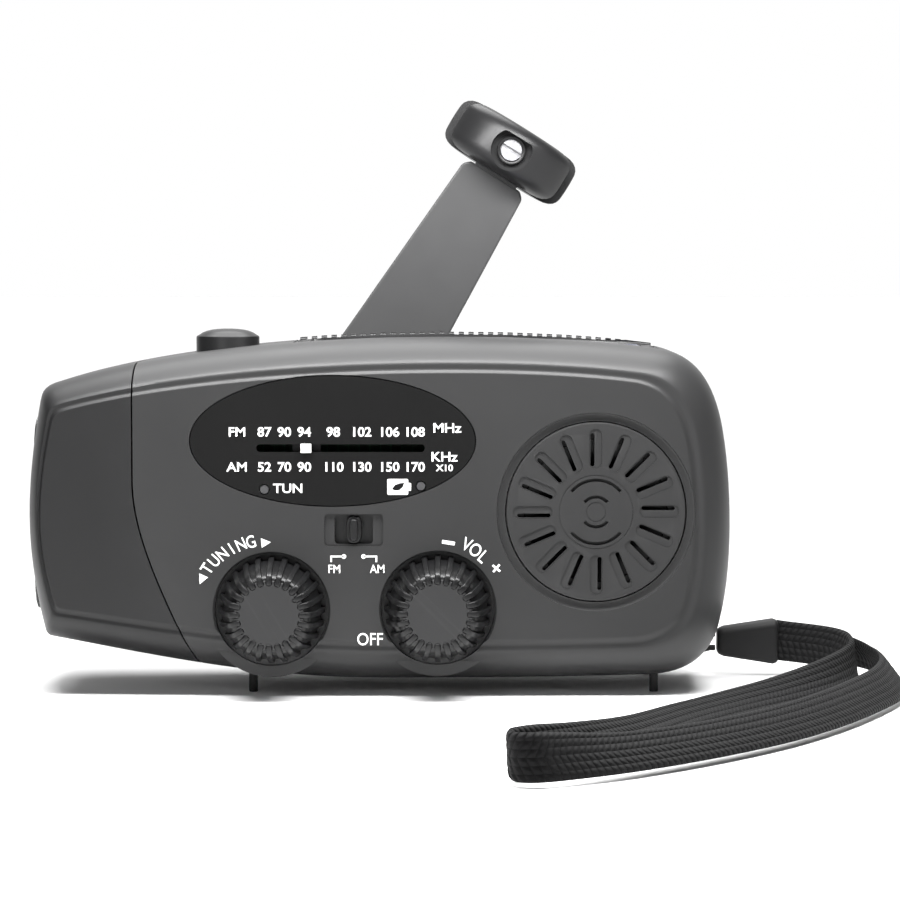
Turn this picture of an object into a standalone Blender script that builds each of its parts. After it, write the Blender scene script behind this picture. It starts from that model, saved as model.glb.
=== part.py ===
"""Hand-crank pocket radio with a torch end, a solar lid, a folding crank and a wrist strap.

Every size is in millimetres and every place is in the case's own frame: X to the right, Y from the
front face to the back, Z up from the surface that the feet stand on, with Y = 0 on the plane where
the two case halves meet. The meshes are scaled to metres as they are made.
"""

import math

import bmesh
import bpy
from mathutils import Matrix, Vector
from mathutils.geometry import interpolate_bezier

MM = 0.001

# ---- driving sizes ---------------------------------------------------------------------------
CASE_LENGTH = 126.0
CASE_HEIGHT = 63.9
FRONT_FACE = 21.0  # depth of the front face ahead of the case's parting plane
BACK_FACE = 21.0  # depth of the back face behind it
WALL = 2.0
GAP = 0.3  # between neighbouring pieces
SEAM_GAP = 0.15  # each side of a case seam

LAMP_SEAM_X = -43.7
SOLAR_LENGTH = 65.5
SOLAR_WIDTH = 23.0
SOLAR_X = 17.3
SOLAR_Y = 2.5

DIAL_X, DIAL_Z = -8.2, 45.8
DIAL_LENGTH, DIAL_HEIGHT = 50.4, 23.0
DIAL_THICKNESS = 1.5
SLOT_LENGTH, SLOT_HEIGHT = 29.8, 1.4
SLOT_X, SLOT_Z = -6.8, 44.5
POINTER_X = -12.9

TUNING_X, TUNING_Z = -19.1, 15.7
VOLUME_X, VOLUME_Z = 10.4, 15.9
KNOB_RADIUS = 9.5
KNOB_HEIGHT = 8.0  # how far a knob stands out of the front face
KNOB_LUGS = 24
WELL_CLEARANCE = 0.6
WELL_DEPTH = 2.0
SPINDLE_RADIUS = 2.0

LED_SPOTS = (("tuning_led", -20.3, 37.2), ("charge_led", 7.4, 37.8))
LED_RADIUS = 0.76

SWITCH_X, SWITCH_Z = -4.5, 30.0
SWITCH_TRAVEL = 1.75
SLIDER_WIDTH, SLIDER_HEIGHT = 2.7, 5.1

SPEAKER_X, SPEAKER_Z = 38.4, 33.2
GRILLE_RADIUS = 15.9
GRILLE_RING = 17.6
GRILLE_SLOTS = 16

BUTTON_X = -28.1
BUTTON_RADIUS = 5.77
BUTTON_RISE = 1.3  # above the case's highest line
BUTTON_TRAVEL = 1.2

CRANK_X, CRANK_Z = -17.0, 32.0
CRANK_ANGLE = 58.2  # degrees above the horizontal at rest
CRANK_REACH = 78.2  # from the hub's axis to the grip's axis
HUB_RADIUS = 13.0
HUB_THICKNESS = 4.5
PIN_OFFSET = 8.0  # from the hub's axis to the fold pin
PIN_RADIUS = 1.0
PIN_STANDOFF = 6.0  # fold pin ahead of the back face
ARM_THICKNESS = 4.0
ARM_TIP_WIDTH = 13.4
ARM_ROOT_WIDTH = 20.2
GRIP_RADIUS = 13.0
GRIP_THICKNESS = 10.1
GRIP_CAP_HEIGHT = 7.0  # the grip's outer part, ahead of the arm's eye
GRIP_POST_RADIUS = 3.0

GEAR_MODULE = 0.9
CRANK_TEETH = 30
IDLER_PINION_TEETH = 10
IDLER_WHEEL_TEETH = 26
DYNAMO_TEETH = 10
DYNAMO_ANGLE = 30.0  # degrees above the horizontal, seen from the idler
DYNAMO_RADIUS = 10.0

FOOT_X = (-22.9, 49.3)
FOOT_Y = 12.0
FOOT_RADIUS = 0.8

RIBBON_WIDTH = 7.5
RIBBON_THICKNESS = 1.0

# ---- sizes worked out from them --------------------------------------------------------------
HALF_LENGTH = CASE_LENGTH / 2
MID_Z = 32.0
FLANK_X = 20.0  # the case narrows towards its right end beyond this
INNER_FRONT = -FRONT_FACE + WALL
INNER_BACK = BACK_FACE - WALL
WELL_RADIUS = KNOB_RADIUS + WELL_CLEARANCE
WELL_FLOOR = -FRONT_FACE + WELL_DEPTH
PIN_Y = BACK_FACE + PIN_STANDOFF
ARM_STOWED_Y = BACK_FACE + 0.4  # inner face of the folded arm
ARM_Y = 2 * PIN_Y - ARM_STOWED_Y - ARM_THICKNESS  # inner face of the unfolded arm
GRIP_FRONT = ARM_Y - GAP - GRIP_CAP_HEIGHT
GRIP_Y = GRIP_FRONT + GRIP_RADIUS
GRIP_BACK = GRIP_Y + GRIP_RADIUS
KNOB_FRONT = -FRONT_FACE - KNOB_HEIGHT
DEPTH_SHIFT = -(KNOB_FRONT + GRIP_BACK) / 2  # centres the whole object on Y = 0
IDLER_X = CRANK_X + GEAR_MODULE * (CRANK_TEETH + IDLER_PINION_TEETH) / 2
IDLER_Z = CRANK_Z
STAGE_TWO = GEAR_MODULE * (IDLER_WHEEL_TEETH + DYNAMO_TEETH) / 2
DYNAMO_X = IDLER_X + STAGE_TWO * math.cos(math.radians(DYNAMO_ANGLE))
DYNAMO_Z = IDLER_Z + STAGE_TWO * math.sin(math.radians(DYNAMO_ANGLE))

for old in list(bpy.data.objects):
    bpy.data.objects.remove(old)

root = bpy.data.objects.new("radio_frame", None)
root.location = (0, DEPTH_SHIFT * MM, 0)
bpy.context.scene.collection.objects.link(root)


# ---- materials -------------------------------------------------------------------------------
def material(name, colour, roughness, metallic=0.0):
    made = bpy.data.materials.new(name)
    made.use_nodes = True
    shader = made.node_tree.nodes["Principled BSDF"]
    shader.inputs["Base Color"].default_value = (*colour, 1)
    shader.inputs["Roughness"].default_value = roughness
    shader.inputs["Metallic"].default_value = metallic
    return made


CASE = material("case_plastic", (0.075, 0.076, 0.079), 0.42)
TRIM = material("dark_trim", (0.022, 0.022, 0.024), 0.35)
DIAL = material("dial_plastic", (0.018, 0.018, 0.02), 0.3)
WHITE = material("white_plastic", (0.8, 0.8, 0.78), 0.4)
CLEAR = material("clear_plastic", (0.75, 0.8, 0.82), 0.06)
SILVER = material("reflector_chrome", (0.8, 0.8, 0.8), 0.12, 1.0)
STEEL = material("steel", (0.5, 0.5, 0.52), 0.3, 1.0)
BOARD = material("circuit_board", (0.02, 0.12, 0.05), 0.5)
NYLON = material("gear_nylon", (0.75, 0.73, 0.66), 0.45)
SILICON = material("solar_cell", (0.012, 0.015, 0.035), 0.2)
RUBBER = material("rubber", (0.015, 0.015, 0.016), 0.75)
WEBBING = material("strap_webbing", (0.02, 0.02, 0.021), 0.85)


# ---- making and cutting solids ---------------------------------------------------------------
def link(name, mesh_data, origin, mat, turn=0.0, parent=None):
    """An object at origin, turned about Y by turn degrees, in the case's frame."""
    thing = bpy.data.objects.new(name, mesh_data)
    thing.location = Vector(origin) * MM
    thing.rotation_euler = (0, math.radians(turn), 0)
    thing.parent = parent or root
    bpy.context.scene.collection.objects.link(thing)
    if mat:
        thing.data.materials.append(mat)
    return thing


def finish(name, bm, mat, origin=(0, 0, 0), turn=0.0, smooth=35):
    """Closes bm, scales it to metres and makes it an object. Its points are relative to origin."""
    bmesh.ops.remove_doubles(bm, verts=bm.verts, dist=1e-4)
    bmesh.ops.recalc_face_normals(bm, faces=bm.faces)
    bmesh.ops.scale(bm, vec=(MM, MM, MM), verts=bm.verts)
    data = bpy.data.meshes.new(name)
    bm.to_mesh(data)
    bm.free()
    if smooth:
        data.shade_smooth()
        data.set_sharp_from_angle(angle=math.radians(smooth))
    return link(name, data, origin, mat, turn)


def block(name, low, high, mat=None, **place):
    bm = bmesh.new()
    size = [b - a for a, b in zip(low, high)]
    centre = [(a + b) / 2 for a, b in zip(low, high)]
    bmesh.ops.create_cube(bm, size=1)
    bmesh.ops.scale(bm, vec=size, verts=bm.verts)
    bmesh.ops.translate(bm, vec=centre, verts=bm.verts)
    return finish(name, bm, mat, smooth=0, **place)


AXIS_TURN = {
    "X": Matrix.Rotation(math.pi / 2, 4, "Y"),
    "Y": Matrix.Rotation(-math.pi / 2, 4, "X"),
    "Z": Matrix.Identity(4),
}


def rod(name, centre, radius, start, end, mat=None, axis="Y", sides=24, **place):
    """A cylinder along axis from start to end; centre gives the other two coordinates."""
    bm = bmesh.new()
    bmesh.ops.create_cone(
        bm, cap_ends=True, segments=sides, radius1=radius, radius2=radius, depth=end - start
    )
    bmesh.ops.transform(bm, matrix=AXIS_TURN[axis], verts=bm.verts)
    middle = (start + end) / 2
    spot = {
        "X": (middle, centre[0], centre[1]),
        "Y": (centre[0], middle, centre[1]),
        "Z": (centre[0], centre[1], middle),
    }[axis]
    bmesh.ops.translate(bm, vec=spot, verts=bm.verts)
    return finish(name, bm, mat, **place)


def prism(name, outline, start, end, mat=None, axis="Y", smooth=35, **place):
    """outline, a list of the two coordinates across axis, extruded from start to end."""
    bm = bmesh.new()
    at = {
        "X": lambda a, b: (start, a, b),
        "Y": lambda a, b: (a, start, b),
        "Z": lambda a, b: (a, b, start),
    }[axis]
    face = bm.faces.new([bm.verts.new(at(a, b)) for a, b in outline])
    grown = bmesh.ops.extrude_face_region(bm, geom=[face])
    moved = [v for v in grown["geom"] if isinstance(v, bmesh.types.BMVert)]
    step = {"X": (end - start, 0, 0), "Y": (0, end - start, 0), "Z": (0, 0, end - start)}[axis]
    bmesh.ops.translate(bm, vec=step, verts=moved)
    return finish(name, bm, mat, smooth=smooth, **place)


def turned(name, profile, mat=None, axis="Y", sides=32, **place):
    """profile, a list of (radius, height along axis), spun about axis. Its ends are on the axis."""
    bm = bmesh.new()
    corners = [bm.verts.new((r, 0, h)) for r, h in profile]
    edges = [bm.edges.new(pair) for pair in zip(corners, corners[1:])]
    bmesh.ops.spin(
        bm, geom=corners + edges, cent=(0, 0, 0), axis=(0, 0, 1), angle=2 * math.pi,
        steps=sides, use_merge=True,
    )  # fmt: skip
    bmesh.ops.transform(bm, matrix=AXIS_TURN[axis], verts=bm.verts)
    return finish(name, bm, mat, **place)


def stacked(name, rings, mat=None, **place):
    """A solid through rings, each a list of (x, y, z) with as many points, capped at both ends."""
    bm = bmesh.new()
    loops = [[bm.verts.new(p) for p in ring] for ring in rings]
    for low, high in zip(loops, loops[1:]):
        for i in range(len(low)):
            j = (i + 1) % len(low)
            bm.faces.new((low[i], low[j], high[j], high[i]))
    bm.faces.new(loops[0])
    bm.faces.new(loops[-1])
    return finish(name, bm, mat, **place)


def boolean(target, tool, kind):
    """Cuts, joins or trims target by tool, which is hidden as a cutter."""
    step = target.modifiers.new(kind.lower(), "BOOLEAN")
    step.operation = kind
    step.solver = "EXACT"
    step.object = tool
    tool.hide_render = True
    tool.display_type = "WIRE"


def cut(target, *tools):
    for tool in tools:
        boolean(target, tool, "DIFFERENCE")


def join(target, *tools):
    for tool in tools:
        boolean(target, tool, "UNION")


def ellipse(x, z, half_length, half_height, count=40):
    turns = [2 * math.pi * i / count for i in range(count)]
    return [(x + half_length * math.cos(t), z + half_height * math.sin(t)) for t in turns]


def rounded(a, b, half_a, half_b, radius, steps=4):
    """A rectangle about (a, b) with round corners."""
    points = []
    for quarter, (sa, sb) in enumerate(((1, 1), (-1, 1), (-1, -1), (1, -1))):
        for i in range(steps + 1):
            t = math.pi / 2 * (quarter + i / steps)
            points.append((
                a + sa * (half_a - radius) + radius * math.cos(t),
                b + sb * (half_b - radius) + radius * math.sin(t),
            ))  # fmt: skip
    return points


# ---- the case's outline ----------------------------------------------------------------------
# Corner, handle, handle for each stretch, clockwise from the top left, on a 128 by 63.9 case.
STRETCHES = (
    ((-59.4, 55.7), (-45.0, 60.2), (-20.0, 63.9), 8),
    ((12.5, 63.9), (27.0, 63.9), (41.0, 63.2), 4),
    ((50.5, 61.9), (57.5, 61.0), (61.0, 56.0), 5),
    ((62.6, 47.5), (63.6, 41.8), (64.0, 36.0), 2),
    ((64.0, 30.0), (64.0, 24.0), (63.5, 18.0), 2),
    ((62.3, 13.2), (61.2, 7.6), (57.5, 3.7), 5),
    ((50.5, 3.1), (35.0, 2.5), (17.0, 2.4), 3),
    ((0.0, 2.4), (-22.0, 2.4), (-40.0, 6.3), 6),
    ((-60.3, 10.1), (-61.0, 10.3), (-61.2, 11.0), 2),
    ((-61.3, 11.5), (-62.9, 18.0), (-64.0, 25.0), 3),
    ((-64.0, 32.0), (-64.0, 39.0), (-63.0, 46.5), 3),
    ((-61.8, 53.0), (-61.5, 54.4), (-61.2, 55.0), 2),
)
DRAWN_HALF_LENGTH, DRAWN_HEIGHT = 64.0, 63.9


def case_outline():
    points = []
    for (p, a, b, count), (q, *_) in zip(STRETCHES, STRETCHES[1:] + STRETCHES[:1]):
        curve = interpolate_bezier(*(Vector((*c, 0)) for c in (p, a, b, q)), count + 1)
        points += [(c.x, c.y) for c in curve[:-1]]
    wide, tall = HALF_LENGTH / DRAWN_HALF_LENGTH, CASE_HEIGHT / DRAWN_HEIGHT
    return [(x * wide, z * tall) for x, z in points]


OUTLINE = case_outline()
UPPER = max(z for _, z in OUTLINE) - MID_Z
LOWER = MID_Z - min(z for _, z in OUTLINE)


def case_ring(depth, inset, wall=0.0):
    """The outline at one depth, drawn in by inset, less at the left end than at the right, and by
    wall all round."""
    ring = []
    for x, z in OUTLINE:
        share = (inset + wall) / UPPER if z > MID_Z else (1.3 * inset + wall) / LOWER
        if x > FLANK_X:
            x -= (x - FLANK_X) * (1.2 * inset + wall) / (HALF_LENGTH - FLANK_X)
        else:
            x -= (x - FLANK_X) * (0.5 * inset + wall) / (HALF_LENGTH + FLANK_X)
        ring.append((x, depth, z - (z - MID_Z) * share))
    return ring


# How far the case draws in (second) at a share of the way to the front or back face (first).
FRONT_EDGE = ((1, 5.9), (0.98, 5.3), (0.955, 4.9), (0.93, 4.0), (0.885, 2.6), (0.8, 1.3), (0.69, 0.45))
BACK_EDGE = ((0.48, 0), (0.69, 0.6), (0.83, 1.9), (0.93, 3.9), (0.98, 5.6), (1, 7))
INNER_FRONT_EDGE = ((1, 5.2), (0.94, 3.6), (0.85, 1.6), (0.68, 0.3))
INNER_BACK_EDGE = ((0.63, 0.2), (0.84, 1.4), (0.95, 3.6), (1, 5.6))


def outer_case(name, wall=0.0):
    """The case's outer shape as a solid, or the same drawn in all round by wall."""
    front, back = FRONT_FACE - wall, BACK_FACE - wall
    rings = [case_ring(-front * share, inset, wall) for share, inset in FRONT_EDGE]
    rings += [case_ring(-front * 0.48, 0, wall)]
    rings += [case_ring(back * share, inset, wall) for share, inset in BACK_EDGE]
    return stacked(name, rings, CASE)


def inner_case(name):
    rings = [case_ring(INNER_FRONT * s, inset, WALL) for s, inset in INNER_FRONT_EDGE]
    rings += [case_ring(0, 0, WALL)]
    rings += [case_ring(INNER_BACK * s, inset, WALL) for s, inset in INNER_BACK_EDGE]
    return stacked(name, rings)


def top_of_case(x):
    """Height of the case's top at x, on the parting plane."""
    upper = sorted((px, pz) for px, pz in OUTLINE if pz > MID_Z + 15)
    for (x0, z0), (x1, z1) in zip(upper, upper[1:]):
        if x0 <= x <= x1 and x1 > x0:
            return z0 + (z1 - z0) * (x - x0) / (x1 - x0)
    return upper[0][1]


def lamp_side(name, shift):
    """The prism of everything left of the lamp head's seam, moved right by shift."""
    far, high = 2 * HALF_LENGTH, 2 * CASE_HEIGHT
    x = LAMP_SEAM_X
    bend = ((x, 38.6), (x, 28.0), (x + 6.7, 15.0), (x + 15.2, -2.0))
    curve = interpolate_bezier(*(Vector((*p, 0)) for p in bend), 9)
    outline = [(-far, high), (x, high)] + [(c.x, c.y) for c in curve] + [(-far, -2.0)]
    return prism(name, [(a + shift, b) for a, b in outline], -far, far, smooth=0)


def slab_cutter(name, low_y, high_y):
    far = 2 * HALF_LENGTH
    return block(name, (-far, low_y, -far), (far, high_y, far))


# ---- case halves -----------------------------------------------------------------------------
SCREW_SPOTS = ((-38.5, 50.0), (-4.4, 13.0), (52.0, 52.0), (49.0, 13.4))
SCREW_SEAT = 6.0  # depth behind the parting plane where a case screw's head sits
SCREW_RADIUS = 1.0
SCREW_HEAD = 2.0
FRONT_BOSS = 2.6


def foot_holes(name, depth):
    return [
        rod(f"{name}_{i}", (x, depth), FOOT_RADIUS + GAP, -1, 8, axis="Z", sides=12)
        for i, x in enumerate(FOOT_X)
    ]


def solar_seat(name):
    return block(
        name,
        (SOLAR_X - SOLAR_LENGTH / 2 - GAP, SOLAR_Y - SOLAR_WIDTH / 2 - GAP, CASE_HEIGHT - 4.2),
        (SOLAR_X + SOLAR_LENGTH / 2 + GAP, SOLAR_Y + SOLAR_WIDTH / 2 + GAP, CASE_HEIGHT + 9),
    )


def add_bosses(shell, limit, name, radius, start, end):
    """Screw bosses, trimmed so that none comes out through the case."""
    for i, (x, z) in enumerate(SCREW_SPOTS):
        boss = rod(f"{name}_{i}", (x, z), radius, start, end, sides=16)
        boolean(boss, limit, "INTERSECT")
        join(shell, boss)


def front_shell(limit):
    shell = outer_case("front_shell")
    cut(shell, inner_case("inner_front"), slab_cutter("rear_side", -SEAM_GAP, 90))
    cut(shell, lamp_side("lamp_side_front", SEAM_GAP))
    for i, (x, z) in enumerate(((TUNING_X, TUNING_Z), (VOLUME_X, VOLUME_Z))):
        join(shell, rod(f"well_pad_{i}", (x, z), WELL_RADIUS + WALL, INNER_FRONT - 0.5, -17.4, sides=32))
        cut(shell, rod(f"well_{i}", (x, z), WELL_RADIUS, -40, WELL_FLOOR, sides=40))
        cut(shell, rod(f"spindle_hole_{i}", (x, z), SPINDLE_RADIUS + 1.6, -25, -12, sides=20))
    half_dial = (DIAL_LENGTH / 2 + GAP, DIAL_HEIGHT / 2 + GAP)
    cut(shell, prism("dial_seat", ellipse(DIAL_X, DIAL_Z, *half_dial), -30, -FRONT_FACE + DIAL_THICKNESS))
    inner_dial = (half_dial[0] - 1.6, half_dial[1] - 1.6)
    cut(shell, prism("dial_opening", ellipse(DIAL_X, DIAL_Z, *inner_dial, 32), -25, -12))
    cut(shell, rod("grille_ring", (SPEAKER_X, SPEAKER_Z), GRILLE_RING, -30, -FRONT_FACE + 0.7, sides=48))
    cut(shell, rod("grille_opening", (SPEAKER_X, SPEAKER_Z), GRILLE_RADIUS + GAP, -30, -12, sides=48))
    half_slot = SLIDER_WIDTH / 2 + SWITCH_TRAVEL + GAP
    slot = rounded(SWITCH_X, SWITCH_Z, half_slot, SLIDER_HEIGHT / 2 + GAP, 1.0, 3)
    cut(shell, prism("switch_slot", slot, -30, -12))
    add_bosses(shell, limit, "front_boss", FRONT_BOSS, INNER_FRONT - 0.5, -1.3)
    for i, (x, z) in enumerate(SCREW_SPOTS):
        cut(shell, rod(f"front_pilot_{i}", (x, z), SCREW_RADIUS + GAP, -13, 5, sides=12))
    for name, x, z in LED_SPOTS:
        cut(shell, rod(name + "_way", (x, z), LED_RADIUS + GAP, -25, -12, sides=16))
    cut(shell, solar_seat("solar_seat_front"))
    cut(shell, button_hole("button_hole_front"))
    cut(shell, *foot_holes("foot_hole_front", -FOOT_Y))
    return shell


def button_hole(name):
    return rod(name, (BUTTON_X, 0), BUTTON_RADIUS + GAP, CASE_HEIGHT - 10, CASE_HEIGHT + 9, axis="Z", sides=32)


# The grip's pocket in the back: the folded grip and the arc that it swings in on.
STOWED_GRIP_X = CRANK_X - PIN_OFFSET + CRANK_REACH - PIN_OFFSET
SWING = CRANK_REACH - PIN_OFFSET + GRIP_THICKNESS / 2  # pin to the grip's outer face
POCKET_FLOOR = 2 * PIN_Y - GRIP_BACK - 0.7
POCKET_LEFT = STOWED_GRIP_X - GRIP_THICKNESS / 2 - 0.6
POCKET_RIGHT = CRANK_X - PIN_OFFSET + math.hypot(SWING, PIN_Y - POCKET_FLOOR) + 0.4
POCKET_HALF = GRIP_RADIUS + 0.6

STRAP_BAR_X, STRAP_BAR_Z = 58.6, 6.4
STRAP_Y = 11.0
NOTCH_HALF = 3.2
BAR_RADIUS = 1.1

PORT_X, PORT_Z = 29.0, 14.4
PORT_HALF_X, PORT_HALF_Z = 4.3, 2.0


def rear_shell(limit):
    shell = outer_case("rear_shell")
    cut(shell, inner_case("inner_rear"), slab_cutter("front_side", -90, SEAM_GAP))
    cut(shell, lamp_side("lamp_side_rear", SEAM_GAP))
    corner = block(
        "strap_corner",
        (STRAP_BAR_X - 5.6, STRAP_Y - NOTCH_HALF - 1.6, -2),
        (HALF_LENGTH + 4, STRAP_Y + NOTCH_HALF + 1.6, STRAP_BAR_Z + 5.0),
    )
    boolean(corner, limit, "INTERSECT")
    join(shell, corner)
    cut(
        shell,
        block(
            "strap_notch",
            (STRAP_BAR_X - 3.6, STRAP_Y - NOTCH_HALF, -6),
            (HALF_LENGTH + 9, STRAP_Y + NOTCH_HALF, STRAP_BAR_Z + 3.2),
        ),
    )
    bar_ends = (STRAP_Y - NOTCH_HALF - 0.5, STRAP_Y + NOTCH_HALF + 0.5)
    join(shell, rod("strap_bar", (STRAP_BAR_X, STRAP_BAR_Z), BAR_RADIUS, *bar_ends, sides=12))
    cup_floor = BACK_FACE - HUB_THICKNESS - GAP - 0.2
    hub = (CRANK_X, CRANK_Z)
    join(shell, rod("hub_cup", hub, HUB_RADIUS + 0.5 + WALL, cup_floor - WALL, BACK_FACE - 0.5, sides=32))
    cut(shell, rod("hub_recess", hub, HUB_RADIUS + 0.5, cup_floor, BACK_FACE + 9, sides=48))
    cut(shell, rod("hub_hole", hub, 3.0 + GAP, cup_floor - 9, BACK_FACE, sides=24))
    pocket_low = (POCKET_LEFT, POCKET_FLOOR, CRANK_Z - POCKET_HALF)
    pocket_high = (POCKET_RIGHT, BACK_FACE + 9, CRANK_Z + POCKET_HALF)
    wall_low = [v - 1.8 for v in pocket_low]
    wall_high = (POCKET_RIGHT + 1.8, BACK_FACE - 0.5, CRANK_Z + POCKET_HALF + 1.8)
    join(shell, block("pocket_walls", wall_low, wall_high))
    cut(shell, block("pocket", pocket_low, pocket_high))
    add_bosses(shell, limit, "rear_boss", SCREW_HEAD + 1.4, 1.3, BACK_FACE - 1.0)
    for i, (x, z) in enumerate(SCREW_SPOTS):
        cut(shell, rod(f"screw_hole_{i}", (x, z), SCREW_RADIUS + GAP, -5, 15, sides=12))
        cut(shell, rod(f"counterbore_{i}", (x, z), SCREW_HEAD + GAP, SCREW_SEAT, BACK_FACE + 9, sides=16))
    port = rounded(PORT_X, PORT_Z, PORT_HALF_X + GAP, PORT_HALF_Z + GAP, 1.0, 2)
    cut(shell, prism("port_opening", port, 15, BACK_FACE + 9))
    cut(shell, solar_seat("solar_seat_rear"))
    cut(shell, button_hole("button_hole_rear"))
    cut(shell, *foot_holes("foot_hole_rear", FOOT_Y))
    return shell


# ---- lamp end --------------------------------------------------------------------------------
LENS_Z = 32.0
LENS_HALF_Y, LENS_HALF_Z = 13.0, 17.5
LENS_FLANGE = -HALF_LENGTH + 5.2  # the flange's outer face, behind the end wall
CUP_PITCH = 11.0
CUP_RADIUS = 5.0


def lens_outline(grow, steps=4):
    return rounded(0, LENS_Z, LENS_HALF_Y + grow, LENS_HALF_Z + grow, 6.0 + grow, steps)


def lamp_head():
    head = outer_case("lamp_head")
    cut(head, inner_case("inner_lamp"))
    boolean(head, lamp_side("lamp_side_keep", -SEAM_GAP), "INTERSECT")
    cut(head, prism("lens_opening", lens_outline(GAP), -90, LENS_FLANGE + 3, axis="X"))
    return head


def lamp():
    lens = prism("lamp_lens", lens_outline(0), -HALF_LENGTH + 0.9, LENS_FLANGE + 0.4, CLEAR, axis="X")
    join(lens, prism("lens_flange", lens_outline(1.4), LENS_FLANGE, LENS_FLANGE + 1.0, axis="X"))
    back = LENS_FLANGE + 1.0 + GAP
    cups = prism("lamp_reflector", lens_outline(-1), back, back + 8.0, SILVER, axis="X")
    for i, name in enumerate(("lower", "middle", "upper")):
        z = LENS_Z + (i - 1) * CUP_PITCH
        bowl = [(0, back - 0.5), (CUP_RADIUS + 0.2, back - 0.5), (CUP_RADIUS, back), (4.4, back + 2.2),
                (3.4, back + 5.0), (2.4, back + 6.8), (0, back + 6.8)]  # fmt: skip
        cut(cups, turned(f"cup_{name}", bowl, axis="X", sides=20, origin=(0, 0, z)))
        cut(cups, rod(f"led_bore_{name}", (0, z), 1.9, back + 5, back + 12, axis="X", sides=16))
        dome = [(0, back + 3.4), (0.9, back + 3.7), (1.5, back + 4.6), (1.6, back + 5.5),
                (1.6, back + 8.2), (0, back + 8.2)]  # fmt: skip
        turned(f"lamp_led_{name}", dome, CLEAR, axis="X", sides=16, origin=(0, 0, z))
    board = (back + 8.2 + GAP, back + 9.4 + GAP)
    prism("lamp_board", lens_outline(-1, 1), *board, BOARD, axis="X", smooth=0)


# ---- front controls --------------------------------------------------------------------------
def knob(name, x, z):
    """A push-on knob: lugged skirt in its well, raised face, and a sleeve over its spindle."""
    base, face = WELL_FLOOR - GAP, KNOB_FRONT
    levels = ((base, 1.0, 0.5), (face + 2.6, 0.91, 0.5), (face + 0.7, 0.76, 0.25), (face, 0.59, 0))
    rings = []
    for depth, share, lug in levels:
        ring = []
        for i in range(2 * KNOB_LUGS):
            t = math.pi * i / KNOB_LUGS
            r = KNOB_RADIUS * share - (lug if i % 2 else 0)
            ring.append((r * math.cos(t), depth, r * math.sin(t)))
        rings.append(ring)
    made = stacked(name, rings, TRIM, origin=(x, 0, z))
    join(made, rod(name + "_sleeve", (0, 0), SPINDLE_RADIUS + 1.2, base - 1, -16.4, sides=20, origin=(x, 0, z)))
    bore = rod(name + "_bore", (0, 0), SPINDLE_RADIUS + GAP, face + 3.6, -10, sides=16, origin=(x, 0, z))
    cut(made, bore)
    return made


SPINDLE_BACK = -12.0
BOARD_FRONT = -8.6


def controls():
    knob("tuning_knob", TUNING_X, TUNING_Z)
    knob("volume_knob", VOLUME_X, VOLUME_Z)
    for name, x, z in (("tuning_shaft", TUNING_X, TUNING_Z), ("volume_shaft", VOLUME_X, VOLUME_Z)):
        ends = (KNOB_FRONT + 3.6 + GAP, SPINDLE_BACK)
        rod(name, (0, 0), SPINDLE_RADIUS, *ends, STEEL, sides=16, origin=(x, 0, z))
    body = block(
        "tuning_capacitor",
        (TUNING_X - 7, -15.8, TUNING_Z - 7),
        (TUNING_X + 7, BOARD_FRONT - GAP, TUNING_Z + 7),
        WHITE,
    )
    bore = SPINDLE_RADIUS + GAP
    cut(body, rod("capacitor_bore", (TUNING_X, TUNING_Z), bore, -20, SPINDLE_BACK + GAP, sides=16))
    can = rod("volume_potentiometer", (VOLUME_X, VOLUME_Z), 7.5, -15.8, BOARD_FRONT - GAP, STEEL, sides=28)
    cut(can, rod("potentiometer_bore", (VOLUME_X, VOLUME_Z), bore, -20, SPINDLE_BACK + GAP, sides=16))


def band_switch():
    plate_front = INNER_FRONT + GAP
    plate = (SWITCH_X, plate_front, SWITCH_Z)
    half = SLIDER_WIDTH / 2 + 2 * SWITCH_TRAVEL + 1.6
    slider = block("band_slider", (-half, 0, -3.9), (half, 1.0, 3.9), TRIM, origin=plate)
    pill = rounded(0, 0, SLIDER_WIDTH / 2, SLIDER_HEIGHT / 2, SLIDER_WIDTH / 2 - 0.05, 4)
    join(slider, prism("slider_thumb", pill, -WALL - GAP - 0.9, 0.5, origin=plate))
    join(slider, block("slider_stem", (-0.7, 0.5, -0.7), (0.7, 3.9, 0.7), origin=plate))
    # The plate stays clear of both knob wells' pads wherever it slides.
    for x, z, way in ((TUNING_X, TUNING_Z, 1), (VOLUME_X, VOLUME_Z, -1)):
        clearance = WELL_RADIUS + WALL + 0.1
        cut(slider, rod(f"pad_clearance_{x}", (x + way * SWITCH_TRAVEL, z), clearance, -25, -12, sides=32))
    body = block(
        "band_switch",
        (SWITCH_X - 5.5, plate_front + 1.6, SWITCH_Z - 2.6),
        (SWITCH_X + 5.5, BOARD_FRONT - GAP, SWITCH_Z + 2.6),
        STEEL,
    )
    reach = SWITCH_TRAVEL + 0.7 + GAP
    cut(
        body,
        block(
            "switch_track",
            (SWITCH_X - reach, plate_front - 1, SWITCH_Z - 1.0),
            (SWITCH_X + reach, plate_front + 4.3, SWITCH_Z + 1.0),
        ),
    )


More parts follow.
